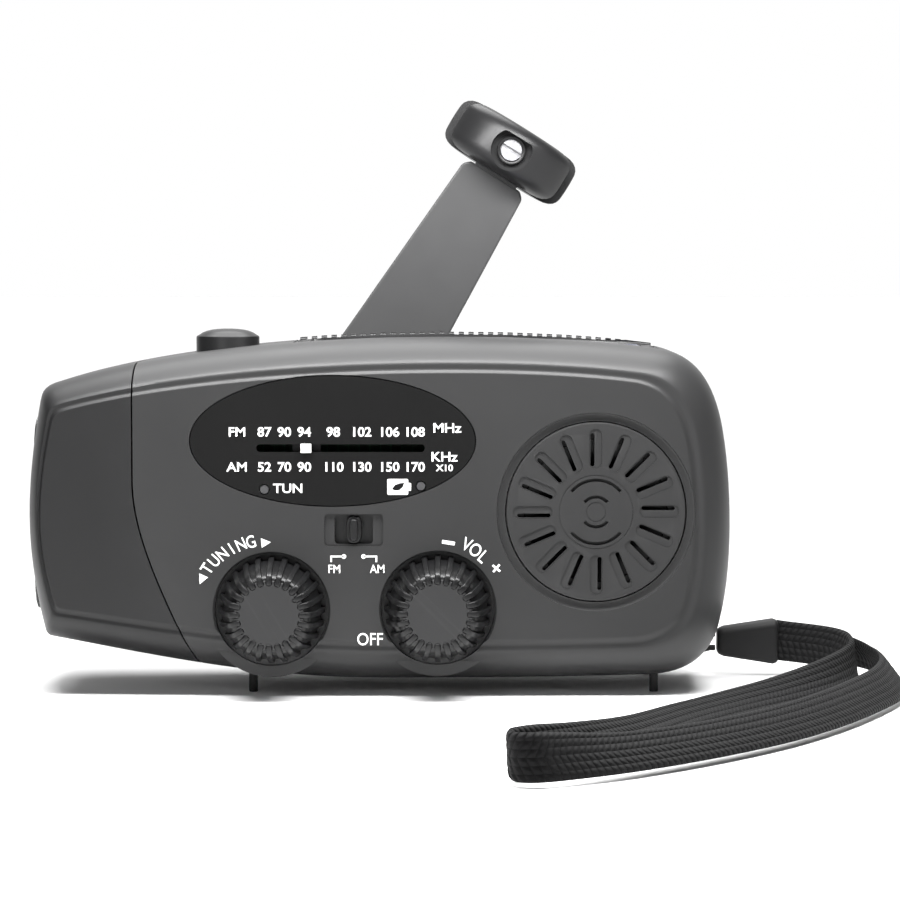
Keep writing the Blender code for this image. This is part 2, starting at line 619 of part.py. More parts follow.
def dial():
    face = -FRONT_FACE + 0.1
    window = prism(
        "dial_window",
        ellipse(DIAL_X, DIAL_Z, DIAL_LENGTH / 2, DIAL_HEIGHT / 2),
        face,
        -FRONT_FACE + DIAL_THICKNESS - 0.2,
        DIAL,
    )
    slot = rounded(SLOT_X, SLOT_Z, SLOT_LENGTH / 2, SLOT_HEIGHT / 2, SLOT_HEIGHT / 2 - 0.05, 3)
    cut(window, prism("pointer_slot", slot, -40, -10))
    for name, x, z in LED_SPOTS:
        cut(window, rod(name + "_hole", (x, z), LED_RADIUS + 0.25, -40, -10, sides=16))
        rod(name, (x, z), LED_RADIUS, face + 0.1, -FRONT_FACE + 3.4, WHITE, sides=16)
    spot = (POINTER_X, face, SLOT_Z)
    pointer = block("dial_pointer", (-0.95, -0.55, -0.8), (0.95, -0.25, 0.8), WHITE, origin=spot)
    join(pointer, block("pointer_stem", (-0.4, -0.4, -0.4), (0.4, 2.6, 0.4), origin=spot))
    join(pointer, block("pointer_carriage", (-2.5, 2.0, -2.0), (2.5, 3.0, 2.0), origin=spot))


def speaker():
    here = (SPEAKER_X, SPEAKER_Z)
    front = -FRONT_FACE + 0.2
    grille = rod("speaker_grille", here, GRILLE_RADIUS, front, front + 1.6, CASE, sides=48)
    for i in range(GRILLE_SLOTS):
        turn = 360 / GRILLE_SLOTS * i
        slit = block(f"slit_{i}", (8.1, -60, 0.3), (13.9, 0, 1.0), origin=(SPEAKER_X, 0, SPEAKER_Z), turn=turn)
        cut(grille, slit)
    rim = -FRONT_FACE + 2.2
    basket = [(0, rim + 3.0), (5, rim + 3.0), (12.6, rim + 0.8), (12.8, rim), (15.3, rim),
              (15.3, rim + 2.0), (13.6, rim + 2.4), (8.4, rim + 7.4), (0, rim + 7.4)]  # fmt: skip
    turned("speaker_frame", basket, TRIM, origin=(SPEAKER_X, 0, SPEAKER_Z), sides=32)
    rod("speaker_magnet", here, 8.0, rim + 7.4 + GAP, rim + 11.4, STEEL, sides=24)


# ---- top: torch button and solar lid ---------------------------------------------------------
def torch():
    top = CASE_HEIGHT + BUTTON_RISE
    ledge = top_of_case(BUTTON_X - BUTTON_RADIUS) - WALL - 1.2
    profile = [(0, top), (2.6, top - 0.12), (4.4, top - 0.5), (5.3, top - 1.05), (BUTTON_RADIUS, top - 1.3),
               (BUTTON_RADIUS, ledge), (7.2, ledge), (7.2, ledge - 1.2), (0, ledge - 1.2)]  # fmt: skip
    turned("torch_button", profile, TRIM, axis="Z", sides=32, origin=(BUTTON_X, 0, 0))
    under = ledge - 1.2 - BUTTON_TRAVEL - GAP
    block("torch_switch", (BUTTON_X - 3, -6.7, under - 4), (BUTTON_X + 3, 2.5, under), STEEL)


def solar_lid():
    low_x, high_x = SOLAR_X - SOLAR_LENGTH / 2, SOLAR_X + SOLAR_LENGTH / 2
    low_y, high_y = SOLAR_Y - SOLAR_WIDTH / 2, SOLAR_Y + SOLAR_WIDTH / 2
    under = CASE_HEIGHT - 4.2 + GAP
    steps = 12
    outline = [(low_x, under)]
    for i in range(steps + 1):
        x = low_x + SOLAR_LENGTH * i / steps
        outline.append((x, top_of_case(x)))
    outline.append((high_x, under))
    frame = prism("solar_frame", outline, low_y, high_y, TRIM, smooth=20)
    window = (low_x + 2.6, low_y + 2.4, high_x - 2.6, high_y - 3.4)
    seat = CASE_HEIGHT - 3.4
    cut(frame, block("cell_window", (window[0], window[1], seat), (window[2], window[3], CASE_HEIGHT + 9)))
    ribs = [(x, z + 0.45) for x, z in outline[1:-1]] + [(x, z - 1.0) for x, z in reversed(outline[1:-1])]
    join(frame, prism("rib_rail", ribs, high_y - 2.4, high_y - 0.4, smooth=20))
    block(
        "solar_panel",
        (window[0] + GAP, window[1] + GAP, seat + GAP),
        (window[2] - GAP, window[3] - GAP, seat + GAP + 1.3),
        SILICON,
    )


# ---- inside ----------------------------------------------------------------------------------
def insides():
    board = block("main_board", (-34, BOARD_FRONT, 10.5), (17, BOARD_FRONT + 1.6, 51.5), BOARD)
    cut(board, rod("board_hole", SCREW_SPOTS[1], FRONT_BOSS + GAP, -12, -4, sides=16))
    block("battery", (0, -4.5, 5.6), (34, 12, 15.4), WHITE)
    rod("ferrite_antenna", (-1.0, 54.8), 2.8, -4.0, 40.0, TRIM, axis="X", sides=16)
    outline = rounded(PORT_X, PORT_Z, PORT_HALF_X, PORT_HALF_Z, 0.8, 2)
    socket = prism("usb_socket", outline, 13.0, INNER_BACK + 1.2, STEEL)
    cut(
        socket,
        block(
            "socket_mouth",
            (PORT_X - PORT_HALF_X + 0.5, 14.5, PORT_Z - PORT_HALF_Z + 0.5),
            (PORT_X + PORT_HALF_X - 0.5, 30, PORT_Z + PORT_HALF_Z - 0.5),
        ),
    )


def port_cover():
    """A rubber flap over the socket, hinged along its lower edge."""
    hinge = (PORT_X, BACK_FACE + 1.1, PORT_Z - PORT_HALF_Z - 1.2)
    flap = rounded(0, PORT_HALF_Z + 1.2, PORT_HALF_X + 1.6, PORT_HALF_Z + 1.7, 1.2, 2)
    prism("port_cover", flap, -0.8, 0.5, RUBBER, origin=hinge, smooth=0)


def gear_outline(teeth, phase=0.0, backlash=0.16):
    """A spur gear's outline with three points on each straight-sided flank."""
    pitch = GEAR_MODULE * teeth / 2
    levels = ((pitch - 1.2 * GEAR_MODULE, 0.80), (pitch, 0.5), (pitch + 0.88 * GEAR_MODULE, 0.22))
    points = []
    for tooth in range(teeth):
        middle = 2 * math.pi * tooth / teeth + phase
        flank = []
        for radius, share in levels:
            half = math.pi * GEAR_MODULE * share / 2 - backlash
            flank.append((radius, max(half, 0.12) / pitch))
        path = [(r, -a) for r, a in flank] + [(r, a) for r, a in reversed(flank)]
        points += [(r * math.cos(middle + a), r * math.sin(middle + a)) for r, a in path]
    return points


def gears():
    hub = (CRANK_X, 0, CRANK_Z)
    wheel = prism("crank_gear", gear_outline(CRANK_TEETH), 9.4, 12.2, NYLON, origin=hub, smooth=0)
    cut(wheel, rod("crank_gear_bore", (0, 0), 2.5 + GAP, 0, 30, sides=16, origin=hub))
    mesh_phase = math.pi + math.pi / IDLER_PINION_TEETH
    idler_at = (IDLER_X, 0, IDLER_Z)
    pinion = gear_outline(IDLER_PINION_TEETH, mesh_phase)
    idler = prism("idler_gear", pinion, 7.5, 12.2, NYLON, origin=idler_at, smooth=0)
    # The wheel's phase puts a tooth on the line to the dynamo, and the dynamo's gap faces it.
    wheel_phase = math.radians(DYNAMO_ANGLE)
    join(idler, prism("idler_wheel", gear_outline(IDLER_WHEEL_TEETH, wheel_phase), 5.6, 8.0, origin=idler_at, smooth=0))
    cut(idler, rod("idler_bore", (0, 0), 1.5 + GAP, 0, 30, sides=16, origin=idler_at))
    dynamo_phase = math.radians(DYNAMO_ANGLE) + math.pi + math.pi / DYNAMO_TEETH
    dynamo_at = (DYNAMO_X, 0, DYNAMO_Z)
    rotor = prism("dynamo_pinion", gear_outline(DYNAMO_TEETH, dynamo_phase), 5.6, 8.4, NYLON, origin=dynamo_at, smooth=0)
    join(rotor, rod("rotor_shaft", (0, 0), 1.2, -3.0, 6.0, sides=12, origin=dynamo_at))
    can = rod("dynamo", (DYNAMO_X, DYNAMO_Z), DYNAMO_RADIUS, -5.5, 3.0, STEEL, sides=32)
    cut(can, rod("dynamo_bore", (DYNAMO_X, DYNAMO_Z), 1.2 + GAP, -3.3, 9, sides=12))
    plate = block("gear_plate", (IDLER_X - 12.5, 3.3, 19.5), (DYNAMO_X + 11.5, 4.7, 53.0), STEEL)
    cut(plate, rod("pinion_hole", (DYNAMO_X, DYNAMO_Z), 2.2, 0, 9, sides=16))
    join(plate, rod("idler_axle", (IDLER_X, IDLER_Z), 1.5, 4.0, 13.2, sides=16))
    for i, (x, z) in enumerate(((24.0, 50.0), (24.0, 22.5), (-9.0, 51.8))):
        join(plate, rod(f"plate_post_{i}", (x, z), 1.8, 4.0, INNER_BACK - GAP, sides=12))


# ---- crank -----------------------------------------------------------------------------------
def crank():
    hub_at = (CRANK_X, 0, CRANK_Z)
    place = {"origin": hub_at, "turn": -CRANK_ANGLE}
    outer = BACK_FACE - 0.1
    inner = outer - HUB_THICKNESS
    hub = rod("crank_hub", (0, 0), HUB_RADIUS, inner, outer, TRIM, sides=48, **place)
    join(hub, rod("hub_spindle", (0, 0), 3.0, 12.2 + GAP, inner + 0.5, sides=24, **place))
    join(hub, rod("hub_journal", (0, 0), 2.5, 9.1, 13.0, sides=16, **place))
    lug_half, lug_radius = 4.7, 2.4
    for side in (-1, 1):
        low, high = sorted((side * lug_half, side * (lug_half + 2.4)))
        lug = [(PIN_OFFSET - lug_radius, outer - 1), (PIN_OFFSET + lug_radius, outer - 1)]
        for i in range(9):
            t = math.pi * i / 8
            lug.append((PIN_OFFSET + lug_radius * math.cos(t), PIN_Y + lug_radius * math.sin(t)))
        join(hub, prism(f"lug_{side}", lug, low, high, axis="Z", **place))
    pin_ends = (-lug_half - 2.3, lug_half + 2.3)
    pin_spot = (PIN_OFFSET, PIN_Y)
    cut(hub, rod("lug_hole", pin_spot, PIN_RADIUS + GAP, -20, 20, axis="Z", sides=16, **place))
    rod("crank_pin", pin_spot, PIN_RADIUS, *pin_ends, STEEL, axis="Z", sides=16, **place)
    rod("gear_screw", (0, 0), 3.9, 6.4, 9.1 - GAP, STEEL, sides=16, origin=hub_at)
    crank_arm(lug_half - GAP)


def crank_arm(root_half):
    """The tapered arm, its knuckle on the fold pin and the eye that the grip turns on."""
    turn = math.radians(CRANK_ANGLE)
    pin_at = (CRANK_X + PIN_OFFSET * math.cos(turn), PIN_Y, CRANK_Z + PIN_OFFSET * math.sin(turn))
    place = {"origin": pin_at, "turn": -CRANK_ANGLE}
    low, high = ARM_Y - PIN_Y, ARM_Y - PIN_Y + ARM_THICKNESS
    start, eye = 3.6, CRANK_REACH - PIN_OFFSET
    shoulder = eye - GRIP_THICKNESS / 2 - 0.5
    half_root, half_tip, round_off = ARM_ROOT_WIDTH / 2, ARM_TIP_WIDTH / 2, 1.2
    edge = [(start, -half_root + 1.5), (start + 1.5, -half_root), (shoulder - round_off, -half_tip),
            (shoulder, -half_tip + round_off)]  # fmt: skip
    outline = edge + [(s, -t) for s, t in reversed(edge)]
    arm = prism("crank_arm", outline, low, high, TRIM, **place)
    knuckle = [(start + 1.0, high), (-2.3, high), (-2.3, 0.0)]
    for i in range(1, 7):
        t = math.pi + math.pi / 2 * i / 4
        knuckle.append((2.3 * math.cos(t), 2.3 * math.sin(t)))
    knuckle += [(2.3, low), (start + 1.0, low)]
    join(arm, prism("arm_knuckle", knuckle, -root_half, root_half, axis="Z", **place))
    tongue = 4.7
    join(arm, block("arm_tongue", (shoulder - 2, low, -tongue), (eye, high, tongue), **place))
    join(arm, rod("arm_eye", (eye, 0), tongue, low, high, sides=32, **place))
    cut(arm, rod("eye_hole", (eye, 0), GRIP_POST_RADIUS + GAP, low - 1, high + 1, sides=24, **place))
    cut(arm, rod("knuckle_hole", (0, 0), PIN_RADIUS + GAP, -30, 30, axis="Z", sides=16, **place))
    grip(turn)


def grip_disc(name, mat, place):
    """The grip's whole disc: its axis along the arm, its rims rounded."""
    half, edge = GRIP_THICKNESS / 2, 2.2
    r = GRIP_RADIUS
    profile = [(0, -half), (r - 2.8, -half + 0.15), (r - 1.0, -half + 0.8), (r - 0.25, -half + edge),
               (r, -half + edge + 1.3)]  # fmt: skip
    profile += [(a, -h) for a, h in reversed(profile)]
    return turned(name, profile, mat, axis="X", sides=40, **place)


def grip(turn):
    axis_at = (CRANK_X + CRANK_REACH * math.cos(turn), GRIP_Y, CRANK_Z + CRANK_REACH * math.sin(turn))
    place = {"origin": axis_at, "turn": -CRANK_ANGLE}
    slot_low, slot_high = ARM_Y - GAP - GRIP_Y, ARM_Y + ARM_THICKNESS + GAP - GRIP_Y
    far = 2 * GRIP_RADIUS
    body = grip_disc("crank_knob", TRIM, place)
    cut(body, block("grip_front_side", (-far, -far, -far), (far, slot_high, far), **place))
    join(body, rod("grip_post", (0, 0), GRIP_POST_RADIUS, slot_low - 1.4, slot_high + 0.5, sides=24, **place))
    cut(body, rod("post_bore", (0, 0), 1.2 + GAP, slot_low - 9, slot_high - 0.5, sides=12, **place))
    cap = grip_disc("crank_knob_cap", TRIM, place)
    cut(cap, block("grip_rear_side", (-far, slot_low, -far), (far, far, far), **place))
    cut(cap, rod("post_socket", (0, 0), GRIP_POST_RADIUS + GAP, slot_low - 1.7, 9, sides=24, **place))
    seat = -GRIP_RADIUS + 2.4
    cut(cap, rod("screw_recess", (0, 0), 3.9, -30, seat, sides=32, **place))
    cut(cap, rod("screw_way", (0, 0), 1.2 + GAP, -30, 9, sides=12, **place))
    screw = rod("crank_knob_screw", (0, 0), 2.6, seat - 1.6, seat - GAP, STEEL, sides=28, **place)
    join(screw, rod("grip_screw_shank", (0, 0), 1.2, seat - 1, slot_high - 1.0, sides=12, **place))
    cut(screw, block("screw_slot", (-0.45, -30, -4), (0.45, seat - 0.9, 4), **place))


# ---- fasteners and feet ----------------------------------------------------------------------
def fasteners():
    for name, (x, z) in zip(("upper_left", "lower_left", "upper_right", "lower_right"), SCREW_SPOTS):
        head = SCREW_SEAT + GAP
        screw = rod(f"case_screw_{name}", (x, z), SCREW_HEAD, head, head + 1.7, STEEL, sides=16)
        join(screw, rod(f"shank_{name}", (x, z), SCREW_RADIUS, -12, head + 0.5, sides=12))
        for turn in (0, 90):
            wide = (1.5, 0.35) if turn else (0.35, 1.5)
            cross = block(f"cross_{name}_{turn}", (x - wide[0], head + 0.8, z - wide[1]), (x + wide[0], 20, z + wide[1]))
            cut(screw, cross)


def feet():
    """Push-in rubber feet: a stem through the case's bottom and a head inside."""
    for end, x in zip(("left", "right"), FOOT_X):
        for side, y in (("front", -FOOT_Y), ("back", FOOT_Y)):
            top = (7.3 if end == "left" else 6.8) * CASE_HEIGHT / DRAWN_HEIGHT
            profile = [(0, 0), (FOOT_RADIUS, 0), (FOOT_RADIUS, top), (1.7, top), (1.7, top + 1.2), (0, top + 1.2)]
            turned(f"foot_{side}_{end}", profile, RUBBER, axis="Z", sides=12, origin=(x, y, 0))


# ---- wrist strap -----------------------------------------------------------------------------
# The ribbon's route: across, back and how far it leans from upright in degrees, chosen by hand.
RIBBON_ROUTE = (
    (75.0, 11.9, 12), (81.0, 11.7, 22), (87.2, 7.6, 30), (91.2, -1.5, 34), (92.0, -14.0, 38),
    (89.4, -28.0, 42), (83.8, -42.0, 46), (75.5, -59.0, 48), (65.0, -76.0, 50), (52.0, -92.0, 50),
    (39.0, -105.0, 44), (30.0, -112.0, 26), (25.4, -114.6, 10), (22.4, -113.9, 0), (21.6, -110.8, -4),
    (24.4, -107.2, -14), (32.0, -99.0, -34), (42.0, -83.0, -52), (52.0, -63.0, -60), (61.5, -48.0, -60),
    (71.5, -35.0, -52), (80.0, -22.5, -36), (85.2, -10.0, -18), (86.0, -0.5, 4), (82.6, 6.0, 14),
    (75.0, 9.6, 12),
)  # fmt: skip
CAP_START, CAP_END = 62.6, 74.0
CAP_Z = 6.4


def ribbon_height(lean, along):
    """The centreline's height: the lower edge rests on the floor, and rises to the cap."""
    half, thick = RIBBON_WIDTH / 2, RIBBON_THICKNESS / 2
    resting = half * math.cos(lean) + thick * abs(math.sin(lean)) + thick + 0.1
    lift = max(0.0, 1 - along / 3.0)
    return resting + (CAP_Z + 0.3 - resting) * lift


def ribbon_points(steps=2):
    """Smooth points through the route, as (x, y, z, lean)."""
    route = [Vector((x, y, lean)) for x, y, lean in RIBBON_ROUTE]
    last = len(route) - 1
    points = []
    for i in range(last):
        before, here = route[max(i - 1, 0)], route[i]
        there, after = route[i + 1], route[min(i + 2, last)]
        for k in range(steps):
            t = k / steps
            p = 0.5 * (
                2 * here + (there - before) * t
                + (2 * before - 5 * here + 4 * there - after) * t**2
                + (3 * here - before - 3 * there + after) * t**3
            )  # fmt: skip
            points.append((p, min(i + t, last - i - t)))
    points.append((route[-1], 0))
    return [(p.x, p.y, ribbon_height(math.radians(p.z), along), math.radians(p.z)) for p, along in points]


def strap():
    data = bpy.data.curves.new("strap_ribbon", "CURVE")
    data.dimensions = "3D"
    data.twist_mode = "Z_UP"
    data.extrude = (RIBBON_WIDTH - RIBBON_THICKNESS) / 2 * MM
    data.bevel_depth = RIBBON_THICKNESS / 2 * MM
    data.bevel_resolution = 2
    data.use_fill_caps = True
    points = ribbon_points()
    line = data.splines.new("POLY")
    line.points.add(len(points) - 1)
    for point, (x, y, z, lean) in zip(line.points, points):
        point.co = (x * MM, y * MM, z * MM, 1)
        point.tilt = lean
    link("strap_ribbon", data, (0, 0, 0), WEBBING)
    levels = ((CAP_START, 1.9, 2.3), (CAP_START + 1.2, 2.3, 2.8), (CAP_END - 1, 2.5, 4.2), (CAP_END, 2.2, 3.9))
    rings = []
    for x, half_y, half_z in levels:
        middle = STRAP_Y - 0.4 * (x - CAP_START) / (CAP_END - CAP_START)
        rings.append([(x, y, z) for y, z in rounded(middle, CAP_Z, half_y, half_z, 1.5, 3)])
    stacked("strap_cap", rings, RUBBER)
    strap_loop()


def strap_loop():
    """The short string that ties the cap to the bar: out from the cap, round the bar and back."""
    data = bpy.data.curves.new("strap_loop", "CURVE")
    data.dimensions = "3D"
    data.bevel_depth = 0.55 * MM
    data.bevel_resolution = 2
    data.use_fill_caps = True
    radius = BAR_RADIUS + GAP + 0.6
    start = CAP_START - GAP
    route = [(start, CAP_Z + 1.3), (start - 1.0, CAP_Z + 1.3)]
    for i in range(9):
        t = math.pi / 2 + math.pi * i / 8
        route.append((STRAP_BAR_X + radius * math.cos(t), STRAP_BAR_Z + radius * math.sin(t)))
    route += [(start - 1.0, CAP_Z - 1.3), (start, CAP_Z - 1.3)]
    line = data.splines.new("POLY")
    line.points.add(len(route) - 1)
    for point, (x, z) in zip(line.points, route):
        point.co = (x * MM, STRAP_Y * MM, z * MM, 1)
    link("strap_loop", data, (0, 0, 0), WEBBING)


inside_skin = outer_case("inside_skin", 0.5)
front_shell(inside_skin)
rear_shell(inside_skin)
lamp_head()
lamp()
controls()
band_switch()
dial()
speaker()
torch()
solar_lid()
insides()
port_cover()
gears()
crank()
fasteners()
feet()
strap()
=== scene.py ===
"""The finished look of the hand-crank pocket radio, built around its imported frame.

New pieces are modelled in millimetres in the case's own frame: X to the right, Y from the front face
to the back with 0 where the case halves meet, and Z up from the floor. settle() then scales each to
metres and puts it in the frame that the CAD nodes are in.
"""

import math

import bmesh
import bpy
from mathutils import Matrix, Vector
from mathutils.geometry import interpolate_bezier


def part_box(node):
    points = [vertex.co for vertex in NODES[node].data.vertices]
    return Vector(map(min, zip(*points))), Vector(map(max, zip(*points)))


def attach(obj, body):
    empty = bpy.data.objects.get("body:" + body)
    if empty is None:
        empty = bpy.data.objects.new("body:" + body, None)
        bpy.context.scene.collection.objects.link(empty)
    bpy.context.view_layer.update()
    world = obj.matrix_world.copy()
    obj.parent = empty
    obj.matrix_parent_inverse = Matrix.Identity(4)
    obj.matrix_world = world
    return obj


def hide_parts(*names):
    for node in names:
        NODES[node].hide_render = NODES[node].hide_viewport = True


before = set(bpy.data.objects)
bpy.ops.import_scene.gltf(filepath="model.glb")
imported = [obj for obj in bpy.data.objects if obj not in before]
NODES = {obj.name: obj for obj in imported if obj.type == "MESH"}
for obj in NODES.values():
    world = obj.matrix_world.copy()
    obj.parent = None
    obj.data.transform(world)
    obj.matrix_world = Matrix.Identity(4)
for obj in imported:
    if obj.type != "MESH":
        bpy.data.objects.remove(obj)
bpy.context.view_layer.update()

MM = 0.001
SEAM = 0.15
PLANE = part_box("rear_shell")[0][1] - SEAM * MM  # where the case halves meet
FRONT = -21.0
WALL = 2.0
MID_Z = 32.0

DIAL = (-8.2, 45.8)
TUNING = (-19.1, 15.7)
VOLUME = (10.4, 15.9)
SWITCH = (-4.5, 30.0)
SPEAKER = (38.4, 33.2)
BUTTON_X = -28.1
HUB = (-17.0, 32.0)
CRANK_ANGLE = 58.2


# ---- working by hand -------------------------------------------------------------------------
def only(thing):
    """Selects one object and nothing else."""
    if bpy.context.mode != "OBJECT":
        bpy.ops.object.mode_set(mode="OBJECT")
    bpy.ops.object.select_all(action="DESELECT")
    thing.select_set(True)
    bpy.context.view_layer.objects.active = thing
    return thing


def named(name):
    bpy.context.object.name = name
    bpy.context.object.data.name = name
    return bpy.context.object


def apply_place(thing):
    only(thing)
    bpy.ops.object.transform_apply(location=True, rotation=True, scale=True)
    return thing


def modify(thing, kind, **settings):
    only(thing)
    step = thing.modifiers.new(kind.lower(), kind)
    for key, value in settings.items():
        setattr(step, key, value)
    bpy.ops.object.modifier_apply(modifier=step.name)
    return thing


def combine(thing, tool, operation):
    modify(thing, "BOOLEAN", operation=operation, solver="EXACT", object=tool)


def cut(thing, *tools):
    for tool in tools:
        combine(thing, tool, "DIFFERENCE")
        bpy.data.objects.remove(tool)


def add(thing, *tools):
    for tool in tools:
        combine(thing, tool, "UNION")
        bpy.data.objects.remove(tool)


def keep_inside(thing, tool):
    combine(thing, tool, "INTERSECT")
    bpy.data.objects.remove(tool)


def outward(thing):
    """Merges what meets and turns every face outwards."""
    only(thing)
    bpy.ops.object.mode_set(mode="EDIT")
    bpy.ops.mesh.select_all(action="SELECT")
    bpy.ops.mesh.remove_doubles(threshold=0.0005)
    bpy.ops.mesh.normals_make_consistent(inside=False)
    bpy.ops.object.mode_set(mode="OBJECT")
    return thing


def settle(thing):
    """From the case's millimetres to the row's metres, with the object left at the origin."""
    apply_place(thing)
    thing.scale = (MM, MM, MM)
    thing.location = (0, PLANE, 0)
    return apply_place(thing)


def round_edges(thing, width, segments=2, angle=35):
    modify(
        thing, "BEVEL", width=width, segments=segments, limit_method="ANGLE",
        angle_limit=math.radians(angle), harden_normals=False,
    )  # fmt: skip


def smooth(thing, angle=40, weighted=True):
    only(thing)
    bpy.ops.object.shade_smooth_by_angle(angle=math.radians(angle))
    if weighted:
        modify(thing, "WEIGHTED_NORMAL", keep_sharp=True, weight=80)
    return thing


def dressed(thing, body, slot, material, *nodes):
    """Gives a finished piece its material and its body, and hides the nodes it stands for. Its slot is not used."""
    thing.data.materials.clear()
    thing.data.materials.append(material)
    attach(thing, body)
    if nodes:
        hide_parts(*nodes)
    return thing


def block(name, low, high):
    size = [b - a for a, b in zip(low, high)]
    middle = [(a + b) / 2 for a, b in zip(low, high)]
    bpy.ops.mesh.primitive_cube_add(size=1, location=middle)
    bpy.context.object.scale = size
    return apply_place(named(name))


def extruded(name, outline, start, end):
    """A flat outline in X and Z, drawn as a closed line and pulled along Y from start to end."""
    bpy.ops.mesh.primitive_circle_add(vertices=len(outline), fill_type="NGON")
    thing = named(name)
    for corner, (x, z) in zip(thing.data.vertices, outline):
        corner.co = (x, start, z)
    only(thing)
    bpy.ops.object.mode_set(mode="EDIT")
    bpy.ops.mesh.select_all(action="SELECT")
    bpy.ops.mesh.extrude_region_move(TRANSFORM_OT_translate={"value": (0, end - start, 0)})
    bpy.ops.object.mode_set(mode="OBJECT")
    return outward(thing)


def lathe(name, profile, sides=64, turn=(math.pi / 2, 0, 0), centre=(0, 0, 0), closed=True):
    """A circle pulled up through profile's (radius, height) rings, then turned to face its way."""
    (radius, height), *rest = profile
    fill = "NGON" if closed else "NOTHING"
    bpy.ops.mesh.primitive_circle_add(
        vertices=sides, radius=radius, fill_type=fill, location=(0, 0, height)
    )
    thing = apply_place(named(name))
    bpy.ops.object.mode_set(mode="EDIT")
    bpy.ops.mesh.select_all(action="SELECT")
    for r, h in rest:
        if closed:
            bpy.ops.mesh.extrude_region_move(TRANSFORM_OT_translate={"value": (0, 0, h - height)})
        else:
            bpy.ops.mesh.extrude_edges_move(TRANSFORM_OT_translate={"value": (0, 0, h - height)})
        grow = r / radius
        bpy.ops.transform.resize(value=(grow, grow, 1), center_override=(0, 0, h))
        radius, height = r, h
    bpy.ops.object.mode_set(mode="OBJECT")
    outward(thing)
    thing.rotation_euler = turn
    apply_place(thing)
    thing.location = centre
    return apply_place(thing)


TO_FRONT = (math.pi / 2, 0, 0)  # a lathe's heights then run towards the front, to -Y
TO_BACK = (-math.pi / 2, 0, 0)
UPRIGHT = (0, 0, 0)


def oval(x, z, half_x, half_z, count=96):
    turns = [2 * math.pi * i / count for i in range(count)]
    return [(x + half_x * math.cos(t), z + half_z * math.sin(t)) for t in turns]


def pill(x, z, half_x, half_z, radius, steps=6):
    """A rectangle with round corners, about (x, z)."""
    points = []
    for quarter, (sx, sz) in enumerate(((1, 1), (-1, 1), (-1, -1), (1, -1))):
        for i in range(steps + 1):
            t = math.pi / 2 * (quarter + i / steps)
            points.append((
                x + sx * (half_x - radius) + radius * math.cos(t),
                z + sz * (half_z - radius) + radius * math.sin(t),
            ))  # fmt: skip
    return points


def round_the_centre(thing, centre, count):
    """Copies of thing, each with its own mesh, turned about the Y axis through centre."""
    copies = [thing]
    for i in range(1, count):
        copy = thing.copy()
        copy.data = thing.data.copy()
        bpy.context.scene.collection.objects.link(copy)
        spot = Vector((centre[0], 0, centre[1]))
        turn = Matrix.Rotation(2 * math.pi * i / count, 4, "Y")
        copy.data.transform(Matrix.Translation(spot) @ turn @ Matrix.Translation(-spot))
        copies.append(copy)
    return copies


def joined(name, pieces):
    bpy.ops.object.select_all(action="DESELECT")
    for piece in pieces:
        piece.select_set(True)
    bpy.context.view_layer.objects.active = pieces[0]
    bpy.ops.object.join()
    return named(name)


# ---- shading effects shared by the materials -------------------------------------------------
def new_group(name, inputs, outputs):
    group = bpy.data.node_groups.new(name, "ShaderNodeTree")
    for label, kind, value in inputs:
        socket = group.interface.new_socket(label, in_out="INPUT", socket_type=kind)
        if value is not None:
            socket.default_value = value
    for label, kind in outputs:
        group.interface.new_socket(label, in_out="OUTPUT", socket_type=kind)
    return group, group.nodes.new("NodeGroupInput"), group.nodes.new("NodeGroupOutput")


def wire(tree, source, target):
    tree.links.new(source, target)


def math_node(tree, operation, a, b=None):
    node = tree.nodes.new("ShaderNodeMath")
    node.operation = operation
    for socket, value in zip(node.inputs, (a, b)):
        if value is None:
            continue
        if isinstance(value, (int, float)):
            socket.default_value = value
        else:
            tree.links.new(value, socket)
    return node.outputs[0]


def noise(tree, vector, scale, detail=2.0, roughness=0.5):
    node = tree.nodes.new("ShaderNodeTexNoise")
    node.inputs["Scale"].default_value = scale
    node.inputs["Detail"].default_value = detail
    node.inputs["Roughness"].default_value = roughness
    tree.links.new(vector, node.inputs["Vector"])
    return node.outputs["Fac"]


def grain_group():
    """Moulded plastic: fine spark-eroded grain for the bump, and a slow variation for the rest."""
    group, start, end = new_group(
        "moulded_grain",
        (("Colour", "NodeSocketColor", None), ("Variation", "NodeSocketFloat", 0.06),
         ("Roughness", "NodeSocketFloat", 0.4), ("Grain Size", "NodeSocketFloat", 6000.0)),
        (("Colour", "NodeSocketColor"), ("Roughness", "NodeSocketFloat"), ("Height", "NodeSocketFloat")),
    )  # fmt: skip
    place = group.nodes.new("ShaderNodeTexCoord").outputs["Object"]
    slow = noise(group, place, 55.0, 3.0)
    grain = noise(group, place, 6000.0, 2.0)
    wire(group, start.outputs["Grain Size"], grain.node.inputs["Scale"])
    lift = math_node(group, "MULTIPLY", math_node(group, "SUBTRACT", slow, 0.5), start.outputs["Variation"])
    tint = group.nodes.new("ShaderNodeHueSaturation")
    wire(group, math_node(group, "ADD", lift, 1.0), tint.inputs["Value"])
    wire(group, start.outputs["Colour"], tint.inputs["Color"])
    wire(group, tint.outputs["Color"], end.inputs["Colour"])
    wobble = math_node(group, "ADD", math_node(group, "MULTIPLY", lift, 2.0), start.outputs["Roughness"])
    wire(group, wobble, end.inputs["Roughness"])
    wire(group, grain, end.inputs["Height"])
    return group


